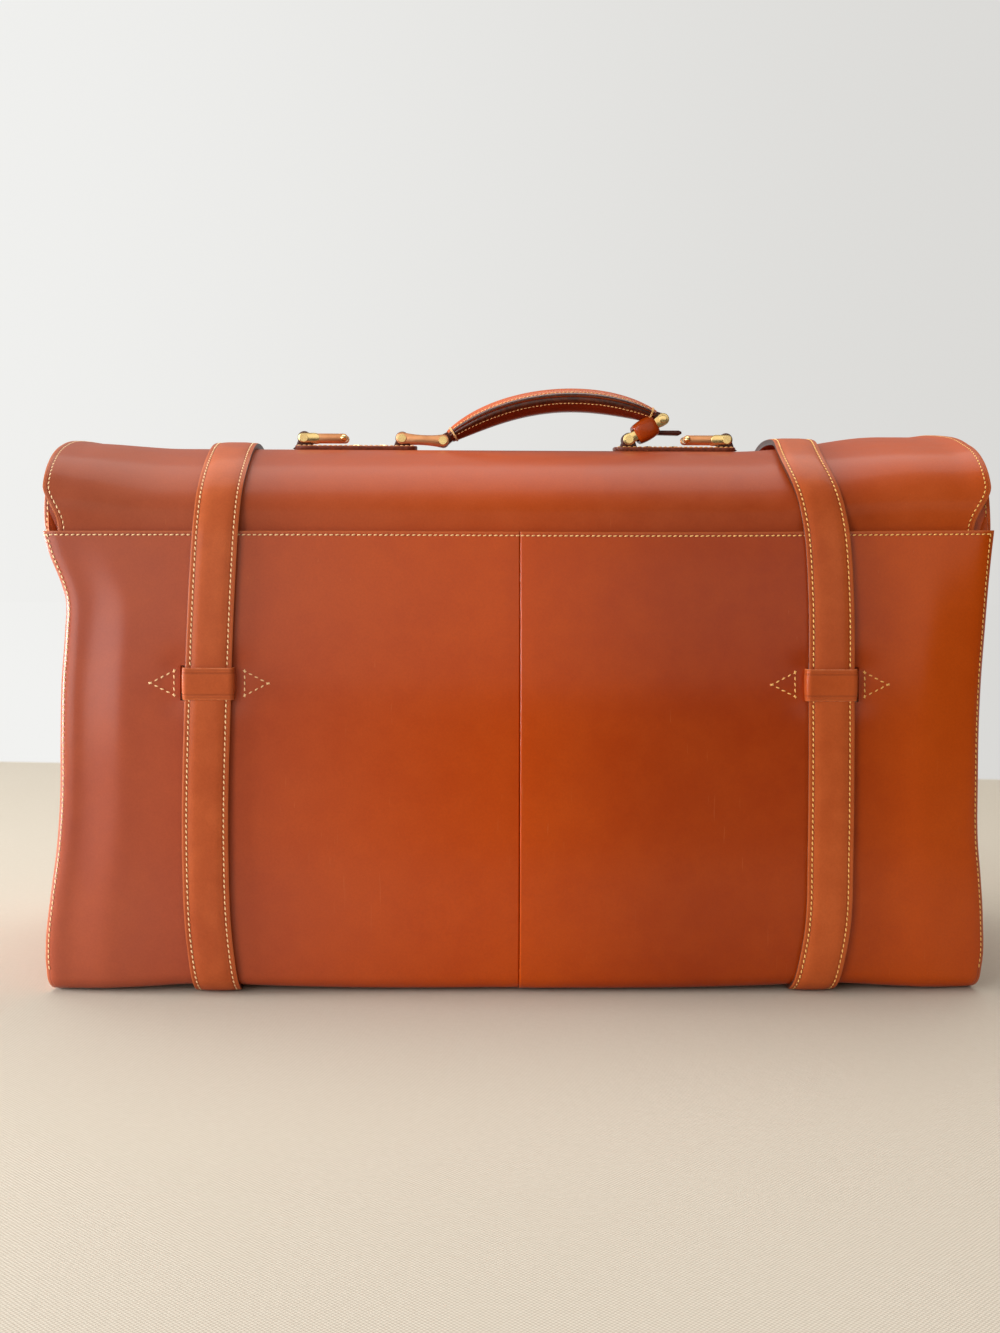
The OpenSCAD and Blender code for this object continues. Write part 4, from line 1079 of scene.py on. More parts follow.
def makeStraps(side):
    tag = sideName(side)
    x = float(strapX(side, 150))
    lift = straps["gap"] + straps["thickness"]
    angle = np.linspace(0, 90, 10)
    backTurn = turnedFace(np.full(angle.shape, x), angle)[:, 1:]
    frontTurn = turnedFace(np.full(angle.shape, x), angle, True)[::-1, 1:]
    outline = np.concatenate([bodyLine(x, 16, keepers["z"] - 0.1, False), backTurn, frontTurn,
                              bodyLine(x, 16, 266, True)[::-1]])
    outline = smoothed(resampled(outline, 2.5), 4)
    path = resampled(outline + outwardNormals(outline, (0, 150)) * lift, 3.0)
    path[:, 1] = np.maximum(path[:, 1], straps["lowest"])
    made, grid, normals, across = makeStrap(side, "strapLower" + tag.capitalize(), path, keepers["z"], -1,
                                            tip=straps["tip"])
    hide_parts("strap_rear_" + tag, "strap_base_" + tag, "strap_front_" + tag)
    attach(made, "case")
    sewStrap("case", grid, normals, across, end=-7)
    turns = np.concatenate([np.linspace(0, 180, 130), 180 + np.linspace(0, 45, 18)[1:]])
    # over the front the right strap rests on its outer edge, where the flap rises
    outward = straps["restOut"] * smooth(50, 100, turns) if side > 0 else 0.0
    overFlap = coverFace(np.full(turns.shape, side * straps["overX"]) + outward, turns)[:, 1:]
    overFlap = overFlap[(overFlap[:, 1] > body["seamZ"] + 12) | (turns > 90)]
    behind = bodyLine(x, keepers["z"] + 0.1, body["seamZ"], False)[::-1]
    outline = np.concatenate([behind, overFlap])
    outline = smoothed(resampled(outline, 2.5), 10)
    path = resampled(outline + outwardNormals(outline, (0, 250)) * lift, 3.0)
    made, grid, normals, across = makeStrap(side, "strapUpper" + tag.capitalize(), path, keepers["z"], 1,
                                            slotRows=6)
    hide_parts("strap_top_" + tag)
    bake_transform(made)
    sewStrap("cover", grid, normals, across, start=4, end=-2)


for side in (-1, 1):
    makeStraps(side)
print("straps made")


# Keepers: a band over the strap that goes into two slots, with tabs sewn behind the panel
def loopBand(name, path, thickness, low, high, inside, materials, bow=0.0):
    # band that follows a path in plan, from one height to another
    z = np.array([0, 0.05, 0.12, 0.3, 0.5, 0.7, 0.88, 0.95, 1.0]) * (high - low) + low
    path = resampled(np.asarray(path, float), 1.2)
    normal = outwardNormals(path, inside)
    share = (z - low) / (high - low)
    swell = bow * (1 - (2 * share - 1) ** 2)
    grid = np.zeros((len(path), len(z), 3))
    grid[:, :, :2] = path[:, None, :] + normal[:, None, :] * swell[None, :, None]
    grid[:, :, 2] = z[None]
    distance = np.broadcast_to(np.minimum(z - low, high - z), grid.shape[:2])
    made, _ = sheet(name, grid, thickness, (*inside, (low + high) / 2), materials,
                    rimDistance=distance, rim=0.4)
    return made


def bandPath(left, right, foot, outer, turn):
    # plan of a band with rounded corners: from its left foot out over the strap and back to its right foot
    way = np.sign(outer - foot)
    corner = [(left + turn * (1 - math.cos(a)), outer - way * turn * (1 - math.sin(a)))
              for a in np.linspace(0, math.pi / 2, 6)]
    return [(left, foot)] + corner + [(left + right - x, y) for x, y in corner[::-1]] + [(right, foot)]


def makeRearKeeper(side):
    tag = sideName(side)
    x, z = float(strapX(side, keepers["z"])), keepers["z"]
    wall = float(wallDepth(np.array([x]), np.array([z]))[0])
    half, over = keepers["bandHalf"], straps["thickness"] + straps["gap"] + keepers["bandOver"]
    path = bandPath(x - half, x + half, -wall + keepers["bandFoot"], -wall - over, keepers["bandTurn"])
    low, high = z - keepers["height"] / 2, z + keepers["height"] / 2
    parts = [loopBand("band", path, keepers["band"], low, high, (x, 0), [strapLeather, edgeTan], bow=0.5)]
    for way in (-1, 1):
        tab = x + way * np.array([keepers["slotX"] + 0.5, *keepers["tabX"]])
        depth, reach = wallDepth(tab, np.full(4, z)) - body["leather"] - 0.3, np.array(keepers["tabReach"])
        rows = [np.stack([tab, -depth, z + reach * share], -1) for share in np.linspace(-1, 1, 5)]
        back, _ = sheet("tab", np.array(rows), keepers["tab"], (x, 0, z), [bodyLeather, edgeTan], rim=0)
        parts.append(back)
        near, far = keepers["slotX"] + keepers["tabNear"], keepers["slotX"] + keepers["tabFar"]
        corners = x + way * np.array([near, near, far])
        upDown = z + keepers["tabHalf"] * np.array([-1, 1, 0])
        for a, b in ((0, 1), (1, 2), (2, 0)):
            share = np.linspace(0, 1, 6)
            sewBack(corners[a] + (corners[b] - corners[a]) * share,
                    upDown[a] + (upDown[b] - upDown[a]) * share)
    made = joined("rearKeeper" + tag.capitalize(), parts)
    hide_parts("rear_keeper_" + tag)
    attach(made, "case")


def makeFixedLoop(side):
    tag = sideName(side)
    low, high = boxOf("buckle_keeper_" + tag)
    path = bandPath(low[0], high[0], low[1] + 0.2, high[1], 2.4)
    made = loopBand("fixedLoop" + tag.capitalize(), path, keepers["band"], low[2], high[2],
                    ((low[0] + high[0]) / 2, low[1] - 40), [strapLeather, edgeDark], bow=0.3)
    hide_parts("buckle_keeper_" + tag)
    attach(made, "flap")


buckle = {"corner": 4.0, "ring": 2.9, "prong": 1.25, "prongStart": 3.2, "prongEnd": 1.2, "wave": 0.25}


def makeBuckle(side):
    tag = sideName(side)
    low, high = boxOf("buckle_" + tag)
    radius = (high[1] - low[1]) / 2
    x, y = (low[0] + high[0]) / 2, (low[1] + high[1]) / 2
    halfX, topZ, lowZ = (high[0] - low[0]) / 2 - radius, high[2] - radius, low[2] + radius
    outline = roundedBox(-halfX, halfX, lowZ, topZ, buckle["corner"], 7)
    path = np.array([(x + px, y, pz) for px, pz in outline])
    made = tube("buckle" + tag.capitalize(), path, radius, [brass], sides=14, loop=True)
    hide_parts("buckle_" + tag)
    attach(made, "buckle_" + tag)
    low, high = boxOf("prong_" + tag)
    startZ = topZ - buckle["prongStart"]
    length = startZ - low[2] - buckle["prongEnd"]
    ring = [(x, y + buckle["ring"] * math.cos(a), topZ + buckle["ring"] * math.sin(a))
            for a in np.linspace(-1.1, 2 * math.pi - 1.35, 20)][::-1]
    run = [(x, high[1] - 1.1, startZ)]
    run += [(x, high[1] - 1.0 + buckle["wave"] * math.sin(s * 3.1), startZ - s * length)
            for s in np.linspace(0.15, 1, 10)]
    made = tube("prong" + tag.capitalize(), resampled(np.array(ring + run), 1.0), buckle["prong"], [brass])
    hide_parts("prong_" + tag)
    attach(made, "prong_" + tag)


for side in (-1, 1):
    makeRearKeeper(side)
    makeFixedLoop(side)
    makeBuckle(side)
print("keepers and buckles made")

# Handle set
handle = {
    "leftPin": (-50.0384, 352.5346), "chord": 152.0, "sagitta": 20.0, "rise": 5.8, "pinZ": 354.0,
    "linkX": 78.0, "shackleX": 145.0, "linkLength": 28.0, "rightLength": 27.0, "linkFall": 3.0,
    "linkRise": 30.8, "plateY": 6.4, "plateT": 2.0, "boss": 4.2, "waist": 2.9, "rivetHead": 2.7,
    "endCut": 2.2, "endShare": 0.54, "loopOver": 0.5, "loopHalf": 5.4, "seamAcross": 12.3,
    "baseWidth": 26.0, "baseT": 2.6, "baseLift": 0.25, "baseLoopHalf": 6.0, "baseInset": 2.6,
    "wrapRadius": 0.3, "wrapStep": 0.24, "wrapHalf": (15.5, 8.2), "wrapClear": 0.2,
}
shackle = {
    "length": 27.0, "oval": 3.3, "ovalOut": 0.9, "ovalIn": 7.5, "arm": 2.9, "armThinner": 0.25, "bar": 2.25,
}
arcRadius = handle["chord"] ** 2 / (8 * handle["sagitta"]) + handle["sagitta"] / 2
endAngle = math.degrees(math.asin(handle["chord"] / 2 / arcRadius))
coverAngle = endAngle - handle["endCut"]
rise = math.radians(handle["rise"])
alongHandle = np.array([math.cos(rise), math.sin(rise)])
upHandle = np.array([-math.sin(rise), math.cos(rise)])
arcCentre = np.array(handle["leftPin"]) + alongHandle * handle["chord"] / 2
arcCentre = arcCentre - upHandle * (arcRadius - handle["sagitta"])


def onHandle(angle, across, up):
    # point of the handle at an angle of its arc: across is along Y, up is away from the arc's centre
    a = math.radians(angle)
    way = alongHandle * math.sin(a) + upHandle * math.cos(a)
    place = arcCentre + way * (arcRadius + np.asarray(up))[..., None]
    return np.stack([place[..., 0], np.asarray(across) + 0 * place[..., 0], place[..., 1]], -1)


# half sections of the two covers, from the outside of the middle round the edge and back inside
upperSection = [(0, 8.1), (3.2, 7.9), (6.0, 7.3), (8.4, 6.4), (10.2, 5.3), (11.4, 4.6), (12.2, 4.35),
                (13.4, 4.0), (14.6, 3.5), (15.2, 3.1), (15.4, 2.4), (15.2, 1.7), (14.6, 1.4), (11.0, 1.2),
                (9.0, 2.4), (6.0, 4.6), (0, 5.8)]
lowerSection = [(0, -8.1), (3.2, -7.9), (6.0, -7.2), (8.4, -6.1), (10.2, -4.8), (11.4, -3.8), (12.2, -3.1),
                (13.4, -2.4), (14.4, -1.7), (15.0, -1.2), (15.3, -0.1), (15.0, 0.9), (14.4, 1.2), (11.0, 1.0),
                (9.0, -1.2), (6.0, -4.0), (0, -5.6)]
rimPoints = range(8, 12)


def taperAt(angle):
    return 1 - (1 - handle["endShare"]) * (abs(angle) / coverAngle) ** 4


def makeHandleCover(name, node, section, material, edge):
    half = np.array(section, float)
    full = np.concatenate([half, half[-2:0:-1] * np.array([-1, 1])])
    marks = [1 if k in rimPoints else 0 for k in range(len(half))]
    ringMarks = marks + [marks[k - 1] for k in range(len(half) - 1, 1, -1)] + [0]
    rings = []
    for angle in np.linspace(-coverAngle, coverAngle, 46):
        share = taperAt(angle)
        rings.append(onHandle(angle, full[:, 0] * share, full[:, 1] * share))
    made = ringRuns(name, rings, [material, edge], ringMarks[:len(full)], sharp=60)
    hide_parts(node)
    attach(made, "handle")
    at, out, lift = handle["seamAcross"], 4.4 if section is upperSection else -3.0, 1.2
    angles = np.linspace(-coverAngle + 1.2, coverAngle - 1.2, 60)
    for way in (-1, 1):
        line = np.array([onHandle(a, way * at * taperAt(a), out * taperAt(a)) for a in angles])
        tip = np.array([onHandle(a, way * (at + 0.4) * taperAt(a), out * taperAt(a) + np.sign(out) * lift)
                        for a in angles])
        sew("handle", line, unit(tip - line), 0.1)


makeHandleCover("handleUpper", "handle_cover_upper", upperSection, strapLeather, edgeDark)
makeHandleCover("handleLower", "handle_cover_lower", lowerSection, redLeather, edgeDark)


def pillOutline(start, end, radius, waist=None):
    # bar with round ends between two points of a plane, drawn in at its middle if it has a waist
    start, end = np.array(start, float), np.array(end, float)
    way = unit((end - start)[None])[0]
    side = np.array([-way[1], way[0]])
    points = []
    for centre, sign in ((start, -1), (end, 1)):
        first = sign * math.pi / 2
        for a in np.linspace(first, first - math.pi, 9):
            points.append(centre + radius * (way * math.cos(a) + side * math.sin(a)))
        if waist is not None:
            for s in np.linspace(0.15, 0.85, 7):
                t = s if sign < 0 else 1 - s
                width = radius - (radius - waist) * math.sin(math.pi * t) ** 0.7
                points.append(start + (end - start) * t + side * width * (1 if sign < 0 else -1))
    return points


def makeLink(side, length, rise, metal):
    tag = sideName(side)
    start = np.array([side * handle["linkX"], handle["pinZ"]])
    end = start + length * np.array([math.cos(math.radians(rise)), math.sin(math.radians(rise))])
    inner, outer = handle["plateY"], handle["plateY"] + handle["plateT"]
    outline = pillOutline(start, end, handle["boss"], handle["waist"])
    plates = [prism("plate", outline, low, high, 1, [metal], rim=0.55)
              for low, high in ((inner, outer), (-outer, -inner))]
    if side > 0:
        # the handle's right pin isn't fixed in this link, which carries rivet heads in its place
        head = [(end[0] + handle["rivetHead"] * math.cos(a), end[1] + handle["rivetHead"] * math.sin(a))
                for a in np.linspace(0, 2 * math.pi, 20, endpoint=False)]
        for way in (-1, 1):
            low, high = sorted((way * (outer - 0.3), way * (outer + 0.9)))
            plates.append(prism("head", head, low, high, 1, [brass], rim=0.4))
    made = joined("link" + tag.capitalize(), plates)
    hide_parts("link_" + tag)
    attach(made, "link_" + tag)


makeLink(-1, handle["linkLength"], -handle["linkFall"], copperBrass)
makeLink(1, handle["rightLength"], handle["linkRise"], brass)


def makeShackle(side):
    tag = sideName(side)
    pinX, barX = side * handle["shackleX"], side * (handle["shackleX"] - shackle["length"])
    outer, inner, z = handle["plateY"] + handle["plateT"], handle["plateY"], handle["pinZ"]
    ovalStart, ovalEnd = pinX + side * shackle["ovalOut"], pinX - side * shackle["ovalIn"]
    oval = pillOutline((ovalStart, z), (ovalEnd, z), shackle["oval"])
    arm = pillOutline((pinX - side * 3, z), (barX, z), shackle["arm"])
    parts, thinner = [], shackle["armThinner"]
    for low, high in ((inner, outer), (-outer, -inner)):
        parts.append(prism("oval", oval, low, high, 1, [brass], rim=0.6))
        parts.append(prism("arm", arm, low + thinner, high - thinner, 1, [copperBrass], rim=0.6))
    y = np.linspace(-outer + 0.6, outer - 0.6, 12)
    bar = np.stack([np.full(12, barX), y, np.full(12, z)], -1)
    parts.append(tube("bar", bar, shackle["bar"], [brass], sides=14))
    made = joined("shackle" + tag.capitalize(), parts)
    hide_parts("shackle_" + tag)
    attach(made, "shackle_" + tag)


for side in (-1, 1):
    makeShackle(side)


def crownLine(y, out):
    # height of the crown at a depth, along the middle of the flap
    reach = np.where(y < 0, cover["rear"], cover["front"])
    return cover["seamZ"] + cover["rise"] * np.sqrt(1 - (y / reach) ** 2) + out


def makeHandleBase(side):
    tag = sideName(side)
    low, high = boxOf("handle_base_" + tag)
    half, top = handle["baseWidth"] / 2, handle["baseLift"] + handle["baseT"]
    y = np.linspace(-half, half, 15)
    xs = merged(spread(low[0], high[0], 2.0), low[0] + np.array([0.5, 1.2]), high[0] - np.array([0.5, 1.2]))
    fromEnd = np.minimum(xs - low[0], high[0] - xs)
    width = np.where(fromEnd < 7, np.sqrt(np.maximum(49 - (7 - fromEnd) ** 2, 1)) / 7 * 0.35 + 0.65, 1.0)
    grid = np.zeros((len(xs), len(y), 3))
    grid[:, :, 0] = xs[:, None]
    grid[:, :, 1] = y[None] * width[:, None]
    grid[:, :, 2] = crownLine(grid[:, :, 1], top) - 0.3 * smooth(0.85, 1.0, np.abs(y) / half)[None]
    distance = np.minimum(fromEnd[:, None], (half - np.abs(y))[None] * width[:, None])
    strip, _ = sheet("strip", grid, handle["baseT"] - 0.1, (0, 0, 250), [strapLeather, edgeBrown],
                     rimDistance=distance, rim=0.5)
    parts = [strip]
    radius, foot = handle["boss"] + handle["loopOver"], cover["seamZ"] + cover["rise"] + 0.7
    for pinX in (side * handle["linkX"], side * handle["shackleX"]):
        outline = [(pinX + radius * math.cos(a), handle["pinZ"] + radius * math.sin(a))
                   for a in np.linspace(-0.35, math.pi + 0.35, 16)]
        outline += [(pinX - radius - 1.2, foot + 1.6), (pinX - radius - 3.2, foot),
                    (pinX + radius + 3.2, foot), (pinX + radius + 1.2, foot + 1.6)]
        parts.append(prism("loop", outline, -handle["baseLoopHalf"], handle["baseLoopHalf"], 1, [darkLeather],
                           rim=0.9, segments=3))
    made = joined("handleBase" + tag.capitalize(), parts)
    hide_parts("handle_base_" + tag)
    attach(made, "flap")
    x = spread(low[0] + 3, high[0] - 3, 4)
    across = np.full(x.shape, half - handle["baseInset"])
    for way in (-1, 1):
        line = np.stack([x, way * across, crownLine(across, top)], -1)
        sew("cover", line, np.broadcast_to([0, way * 0.1, 1.0], line.shape))


for side in (-1, 1):
    makeHandleBase(side)


def squareOval(width, height, powerAcross, powerUp, count):
    # points round an oval whose corners stand out more, the smaller its powers are
    a = np.linspace(0, 2 * math.pi, count, endpoint=False)
    across = width * np.sign(np.cos(a)) * np.abs(np.cos(a)) ** powerAcross
    return across, height * np.sign(np.sin(a)) * np.abs(np.sin(a)) ** powerUp


def makeHandleEnds():
    for end, tag in ((-1, "left"), (1, "right")):
        pin = np.array(handle["leftPin"]) + (alongHandle * handle["chord"] if end > 0 else 0)
        inside = onHandle(end * (coverAngle - 3.5), np.zeros(1), np.zeros(1))[0, [0, 2]]
        throat = onHandle(end * (coverAngle + 0.6), np.zeros(1), np.zeros(1))[0, [0, 2]]
        way = unit((inside - pin)[None])[0]
        sideways = np.array([-way[1], way[0]])
        outline = [pin - way * handle["boss"] * math.cos(a) + sideways * handle["boss"] * math.sin(a)
                   for a in np.linspace(-math.pi / 2, math.pi / 2, 12)]
        outline += [throat + sideways * 3.6, inside + sideways * 3.0,
                    inside - sideways * 3.0, throat - sideways * 3.6]
        made = prism("handleLoop" + tag.capitalize(), outline, -handle["loopHalf"], handle["loopHalf"], 1,
                     [darkLeather], rim=0.9, segments=3)
        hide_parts("handle_loop_" + tag)
        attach(made, "handle")
    wraps = []
    for end in (-1, 1):
        for turn in range(2):
            angle = end * (coverAngle - 0.9 - turn * handle["wrapStep"])
            width, height = (half * taperAt(angle) + handle["wrapClear"] for half in handle["wrapHalf"])
            across, up = squareOval(width, height, 0.75, 0.9, 36)
            path = onHandle(angle, across, up)
            wraps.append(tube("wrap", path, handle["wrapRadius"], [thread], sides=6, loop=True))
    made = joined("handleThread", wraps)
    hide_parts("handle_thread")
    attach(made, "handle")


makeHandleEnds()

tagBand = {
    "outer": (9.1, 5.7), "inner": (8.75, 4.5), "innerAt": (21.0, 13.5, 6.0),
    "tailAt": (19, -5.6), "tailHalf": 4.0,
    "swell": [(5.6, 0.0), (6.2, 0.9), (8.0, 1.5), (11.0, 1.9), (13.5, 2.0), (16.0, 1.9), (19.0, 1.5),
              (20.8, 0.9), (21.4, 0.0)],
    "tail": [(-3, -1.3), (15.5, -1.7), (17.4, -0.7), (17.4, 0.7), (15.5, 1.6), (-3, 1.5)],
}


def makeTag():
    # leather band round the right link, with a flat tail
    lean = math.radians(handle["linkRise"])
    way, up = np.array([math.cos(lean), math.sin(lean)]), np.array([-math.sin(lean), math.cos(lean)])
    origin = np.array([handle["linkX"], handle["pinZ"]])

    def ring(at, size, swell=0.0):
        y, out = squareOval(size[0] + swell, size[1] + swell, 0.45, 0.6, 40)
        place = origin + way * at + up * out[:, None]
        return np.stack([place[:, 0], y, place[:, 1]], -1)

    rings = [ring(at, tagBand["outer"], swell) for at, swell in tagBand["swell"]]
    rings += [ring(at, tagBand["inner"]) for at in tagBand["innerAt"]]
    band = ringRuns("band", rings, [bodyLeather], loop=True, sharp=70)
    tailStart = origin + way * tagBand["tailAt"][0] + up * tagBand["tailAt"][1]
    tail = prism("tail", [tailStart + np.array(corner) for corner in tagBand["tail"]], -tagBand["tailHalf"],
                 tagBand["tailHalf"], 1, [darkLeather], rim=0.6)
    made = joined("tagStrap", [band, tail])
    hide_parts("tag_strap")
    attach(made, "link_right")


makeTag()


# Pins, rivets, plates and the handle's core keep their exact shape; pins and rivets get softened edges
def dress(node, material, bevel=0.0):
    piece = nodeObjects[node]
    piece.data.materials.clear()
    piece.data.materials.append(material)
    if bevel:
        weld = piece.modifiers.new("weld", "WELD")
        weld.merge_threshold = 0.00001
        rounding = piece.modifiers.new("rounding", "BEVEL")
        rounding.width = bevel * toMetres
        rounding.segments = 2
        rounding.limit_method = "ANGLE"
        rounding.angle_limit = math.radians(50)


for node in ("base_pins", "handle_pins", "base_rivets"):
    dress(node, brass, 0.3)
for node in ("backing_plate_left", "backing_plate_right"):
    dress(node, brass)
dress("handle_core", darkLeather)
print("handle made")

# Stitches: one small thread body at each even step along the sewn lines
stitch = {"pitch": 3.4, "length": 2.75, "width": 0.95, "height": 0.66, "slant": 10.0, "seed": 7}


def stitchTree():
    tree = bpy.data.node_groups.new("stitching", "GeometryNodeTree")
    face = tree.interface
    face.new_socket("Lines", in_out="INPUT", socket_type="NodeSocketGeometry")
    for name in ("Pitch", "Length", "Width", "Height", "Slant"):
        face.new_socket(name, in_out="INPUT", socket_type="NodeSocketFloat")
    face.new_socket("Seed", in_out="INPUT", socket_type="NodeSocketInt")
    face.new_socket("Thread", in_out="INPUT", socket_type="NodeSocketMaterial")
    face.new_socket("Stitches", in_out="OUTPUT", socket_type="NodeSocketGeometry")

    def add(kind, settings=None, inputs=None):
        made = tree.nodes.new(kind)
        for key, value in (settings or {}).items():
            setattr(made, key, value)
        for key, value in (inputs or {}).items():
            if isinstance(value, bpy.types.NodeSocket):
                tree.links.new(value, made.inputs[key])
            else:
                made.inputs[key].default_value = value
        return made

    given = add("NodeGroupInput").outputs
    curve = add("GeometryNodeMeshToCurve", None, {"Mesh": given["Lines"]})
    evenly = add("GeometryNodeResampleCurve", {"mode": "LENGTH"},
                 {"Curve": curve.outputs[0], "Length": given["Pitch"]})
    lift = add("GeometryNodeInputNamedAttribute", {"data_type": "FLOAT_VECTOR"}, {"Name": "lift"})
    tangent = add("GeometryNodeInputTangent")
    facing = add("FunctionNodeAxesToRotation", {"primary_axis": "X", "secondary_axis": "Z"},
                 {"Primary Axis": tangent.outputs[0], "Secondary Axis": lift.outputs[0]})
    wobble = add("FunctionNodeRandomValue", {"data_type": "FLOAT"}, {"Seed": given["Seed"]})
    floats = [s for s in wobble.inputs if s.name in ("Min", "Max") and s.type == "VALUE"]
    floats[0].default_value, floats[1].default_value = 0.6, 1.4
    amount = [s for s in wobble.outputs if s.type == "VALUE" and s.enabled][0]
    slant = add("ShaderNodeMath", {"operation": "MULTIPLY"}, {0: given["Slant"], 1: amount})
    spin = add("ShaderNodeCombineXYZ", None, {"Z": slant.outputs[0]})
    asTurn = add("FunctionNodeEulerToRotation", None, {0: spin.outputs[0]})
    turned = add("FunctionNodeRotateRotation", {"rotation_space": "LOCAL"},
                 {"Rotation": facing.outputs[0], "Rotate By": asTurn.outputs[0]})
    ball = add("GeometryNodeMeshUVSphere", None, {"Segments": 6, "Rings": 5, "Radius": 0.5})
    size = add("ShaderNodeCombineXYZ", None,
               {"X": given["Length"], "Y": given["Width"], "Z": given["Height"]})
    shaped = add("GeometryNodeTransform", None, {"Geometry": ball.outputs["Mesh"], "Scale": size.outputs[0]})
    placed = add("GeometryNodeInstanceOnPoints", None,
                 {"Points": evenly.outputs[0], "Instance": shaped.outputs[0], "Rotation": turned.outputs[0]})
    real = add("GeometryNodeRealizeInstances", None, {"Geometry": placed.outputs[0]})
    shaded = add("GeometryNodeSetShadeSmooth", None, {"Geometry": real.outputs[0]})
    painted = add("GeometryNodeSetMaterial", None,
                  {"Geometry": shaded.outputs[0], "Material": given["Thread"]})
    add("NodeGroupOutput", None, {"Stitches": painted.outputs[0]})
    return tree


def makeStitches(name, runs, tree, scale=1.0):
    points, edges, lifts = [], [], []
    for line, normals in runs:
        edges += [(len(points) + k, len(points) + k + 1) for k in range(len(line) - 1)]
        points += (line * toMetres).tolist()
        lifts += unit(np.asarray(normals, float)).tolist()
    mesh = bpy.data.meshes.new(name + "Lines")
    mesh.from_pydata(points, edges, [])
    lift = mesh.attributes.new("lift", "FLOAT_VECTOR", "POINT")
    lift.data.foreach_set("vector", np.array(lifts, np.float32).reshape(-1))
    source = bpy.data.objects.new(name + "Lines", mesh)
    bpy.context.scene.collection.objects.link(source)
    modifier = source.modifiers.new("stitching", "NODES")
    modifier.node_group = tree
    values = {"Pitch": stitch["pitch"] * scale * toMetres, "Length": stitch["length"] * scale * toMetres,
              "Width": stitch["width"] * scale * toMetres, "Height": stitch["height"] * toMetres,
              "Slant": math.radians(stitch["slant"]), "Seed": stitch["seed"], "Thread": thread}
    for item in tree.interface.items_tree:
        if item.item_type == "SOCKET" and item.in_out == "INPUT" and item.name in values:
            modifier[item.identifier] = values[item.name]
    bpy.context.view_layer.update()
    evaluated = source.evaluated_get(bpy.context.evaluated_depsgraph_get())
    result = bpy.data.meshes.new_from_object(evaluated)
    result.name = name
    made = bpy.data.objects.new(name, result)
    bpy.context.scene.collection.objects.link(made)
    bpy.data.objects.remove(source)
    print(name, len(result.polygons), "faces")
    return made


sewing = stitchTree()
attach(makeStitches("caseStitches", stitchRuns["case"], sewing), "case")
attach(makeStitches("handleStitches", stitchRuns["handle"], sewing, 0.8), "handle")
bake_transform(makeStitches("flapStitches", stitchRuns["cover"], sewing))
print("stitches made")

# Stage: cream cloth, pale surroundings, a window to the left
stage = {
    "tableReach": 0.84, "tableTurn": 0.12, "nearEnd": -0.95, "edgeSoftness": 0.012, "floorSize": 7.0,
    "threadPitch": 0.0021, "cloth": colour(204, 195, 180), "clothDark": colour(190, 179, 162),
    "shade": colour(60, 56, 52), "wallLeft": colour(242, 242, 240), "wallRight": colour(218, 217, 214),
}


# the backdrop is painted brighter on the left, towards the window, and darker to the right: painted light
def wallTone(finish, direction):
    across = finish.node("ShaderNodeSeparateXYZ", None, [direction], output="X")
    return finish.mix(across.between(-0.45, 0.45), stage["wallLeft"], stage["wallRight"])


def makeFloor():
    size = stage["floorSize"]
    mesh = bpy.data.meshes.new("floor")
    corners = [(-size, -size, 0), (size, -size, 0), (size, size, 0), (-size, size, 0)]
    mesh.from_pydata(corners, [], [(0, 1, 2, 3)])
    finish = Finish("tableCloth", {"Roughness": 0.9})
    waves = 2 * math.pi / stage["threadPitch"]
    threads = (finish.axis("X") * waves).math("SINE") * (finish.axis("Y") * waves).math("SINE")
    slub = finish.noise(260.0, 4.0, 0.6)
    folds = finish.noise(2.2, 2.0)
    tone = finish.mix(threads * 0.2 + slub * 0.5 + folds * 0.3, stage["clothDark"], stage["cloth"])
    across, soft = finish.axis("Y") + finish.axis("X") * stage["tableTurn"], stage["edgeSoftness"]
    past = across.between(stage["tableReach"] - soft, stage["tableReach"] + soft)
    # nearer than nearEnd the cloth is painted the dark shade colour: painted shade, cutting what the bag
    # reflects from there
    near = 1.0 - finish.axis("Y").between(stage["nearEnd"] - soft, stage["nearEnd"] + soft)
    tone = finish.mix(near, tone, stage["shade"])
    finish.set(colour=tone, normal=finish.bump(threads + slub, 0.25, 0.0003))
    glow = finish.tree.nodes.new("ShaderNodeEmission")
    direction = finish.node("ShaderNodeVectorMath", {"operation": "NORMALIZE"}, [finish.place])
    finish.tree.links.new(wallTone(finish, direction).socket, glow.inputs["Color"])
    rays = finish.tree.nodes.new("ShaderNodeLightPath").outputs
    byCamera = Wire(finish, rays["Is Camera Ray"])
    glowing = past * (byCamera + Wire(finish, rays["Is Glossy Ray"])) + near * byCamera
    mixed = finish.tree.nodes.new("ShaderNodeMixShader")
    finish.tree.links.new(glowing.math("MINIMUM", 1.0).socket, mixed.inputs[0])
    finish.tree.links.new(finish.shader.outputs[0], mixed.inputs[1])
    finish.tree.links.new(glow.outputs[0], mixed.inputs[2])
    finish.tree.links.new(mixed.outputs[0], finish.tree.nodes["Material Output"].inputs["Surface"])
    addObject("floor", mesh, [finish.material])


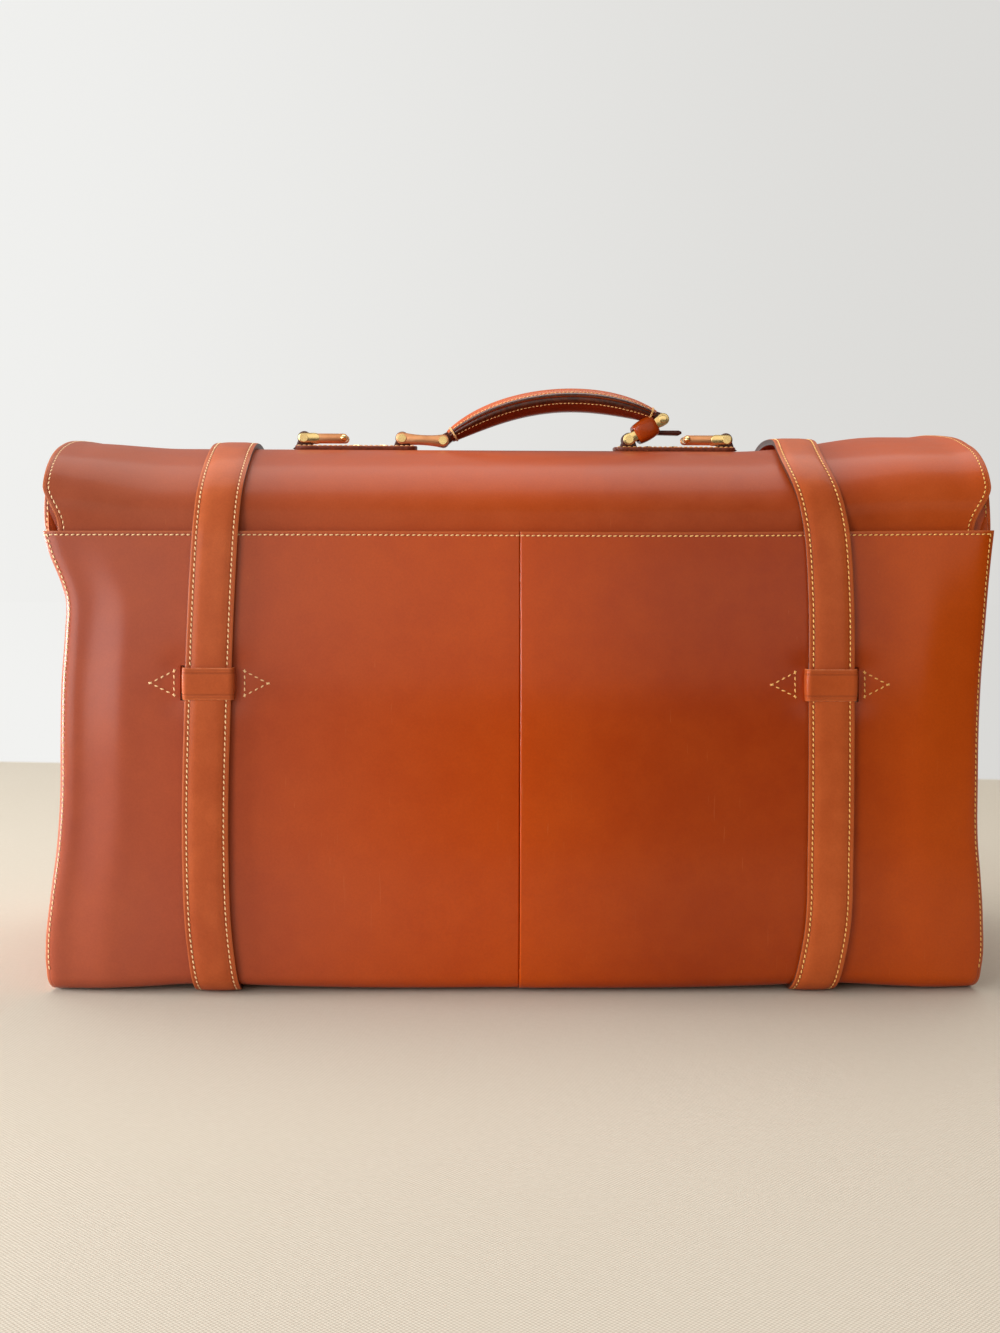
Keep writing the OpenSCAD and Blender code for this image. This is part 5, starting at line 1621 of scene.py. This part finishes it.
def makeWorld():
    world = bpy.data.worlds.new("surroundings")
    bpy.context.scene.world = world
    world.use_nodes = True
    sky = ShaderNodes(world.node_tree, "Generated")
    background = world.node_tree.nodes["Background"]
    rays = world.node_tree.nodes.new("ShaderNodeLightPath").outputs
    seen = (Wire(sky, rays["Is Camera Ray"]) + Wire(sky, rays["Is Transmission Ray"])).math("MINIMUM", 1.0)
    toward = {name: sky.node("ShaderNodeSeparateXYZ", None, [sky.place], output=name) for name in "XYZ"}
    room = (toward["X"] * -1.0).between(0.1, 0.8, 0.0, light["left"])
    room = room + toward["Z"].between(0.2, 0.9, 0.0, light["above"])
    room = room + toward["Y"].between(-0.1, 0.7, 0.0, light["behind"]) + light["room"]
    strength = seen * (1.0 - room) + room
    world.node_tree.links.new(wallTone(sky, sky.place).socket, background.inputs["Color"])
    world.node_tree.links.new(strength.socket, background.inputs["Strength"])


light = {
    "room": 0.07, "left": 0.3, "above": 0.38, "behind": 0.4,
    "lamps": {
        "window": {"place": (-2.3, -0.25, 0.42), "size": (0.9, 0.9), "power": 78, "tone": (0.93, 0.97, 1.0)},
        "room": {"place": (-1.75, -2.1, 0.9), "size": (1.2, 1.7), "power": 30, "tone": (0.95, 0.97, 1.0)},
        "front": {"place": (0.2, -2.5, 1.05), "size": (2.6, 1.3), "power": 13, "tone": (1.0, 0.9, 0.76)},
        "overhead": {"place": (-0.1, 0.5, 2.0), "size": (2.4, 1.4), "power": 33, "tone": (1.0, 0.98, 0.95)},
    },
    "aim": (0, 0, 0.2),
}


def makeLamps():
    for name, lamp in light["lamps"].items():
        data = bpy.data.lights.new(name, "AREA")
        data.shape = "RECTANGLE"
        data.size, data.size_y = lamp["size"]
        data.energy = lamp["power"]
        data.color = lamp["tone"]
        made = bpy.data.objects.new(name, data)
        made.location = lamp["place"]
        aim = Vector(light["aim"]) - Vector(lamp["place"])
        made.rotation_euler = aim.to_track_quat("-Z", "Y").to_euler()
        bpy.context.scene.collection.objects.link(made)


makeFloor()
makeWorld()
makeLamps()
bpy.context.scene.view_settings.view_transform = "Standard"
print("stage and lights made")
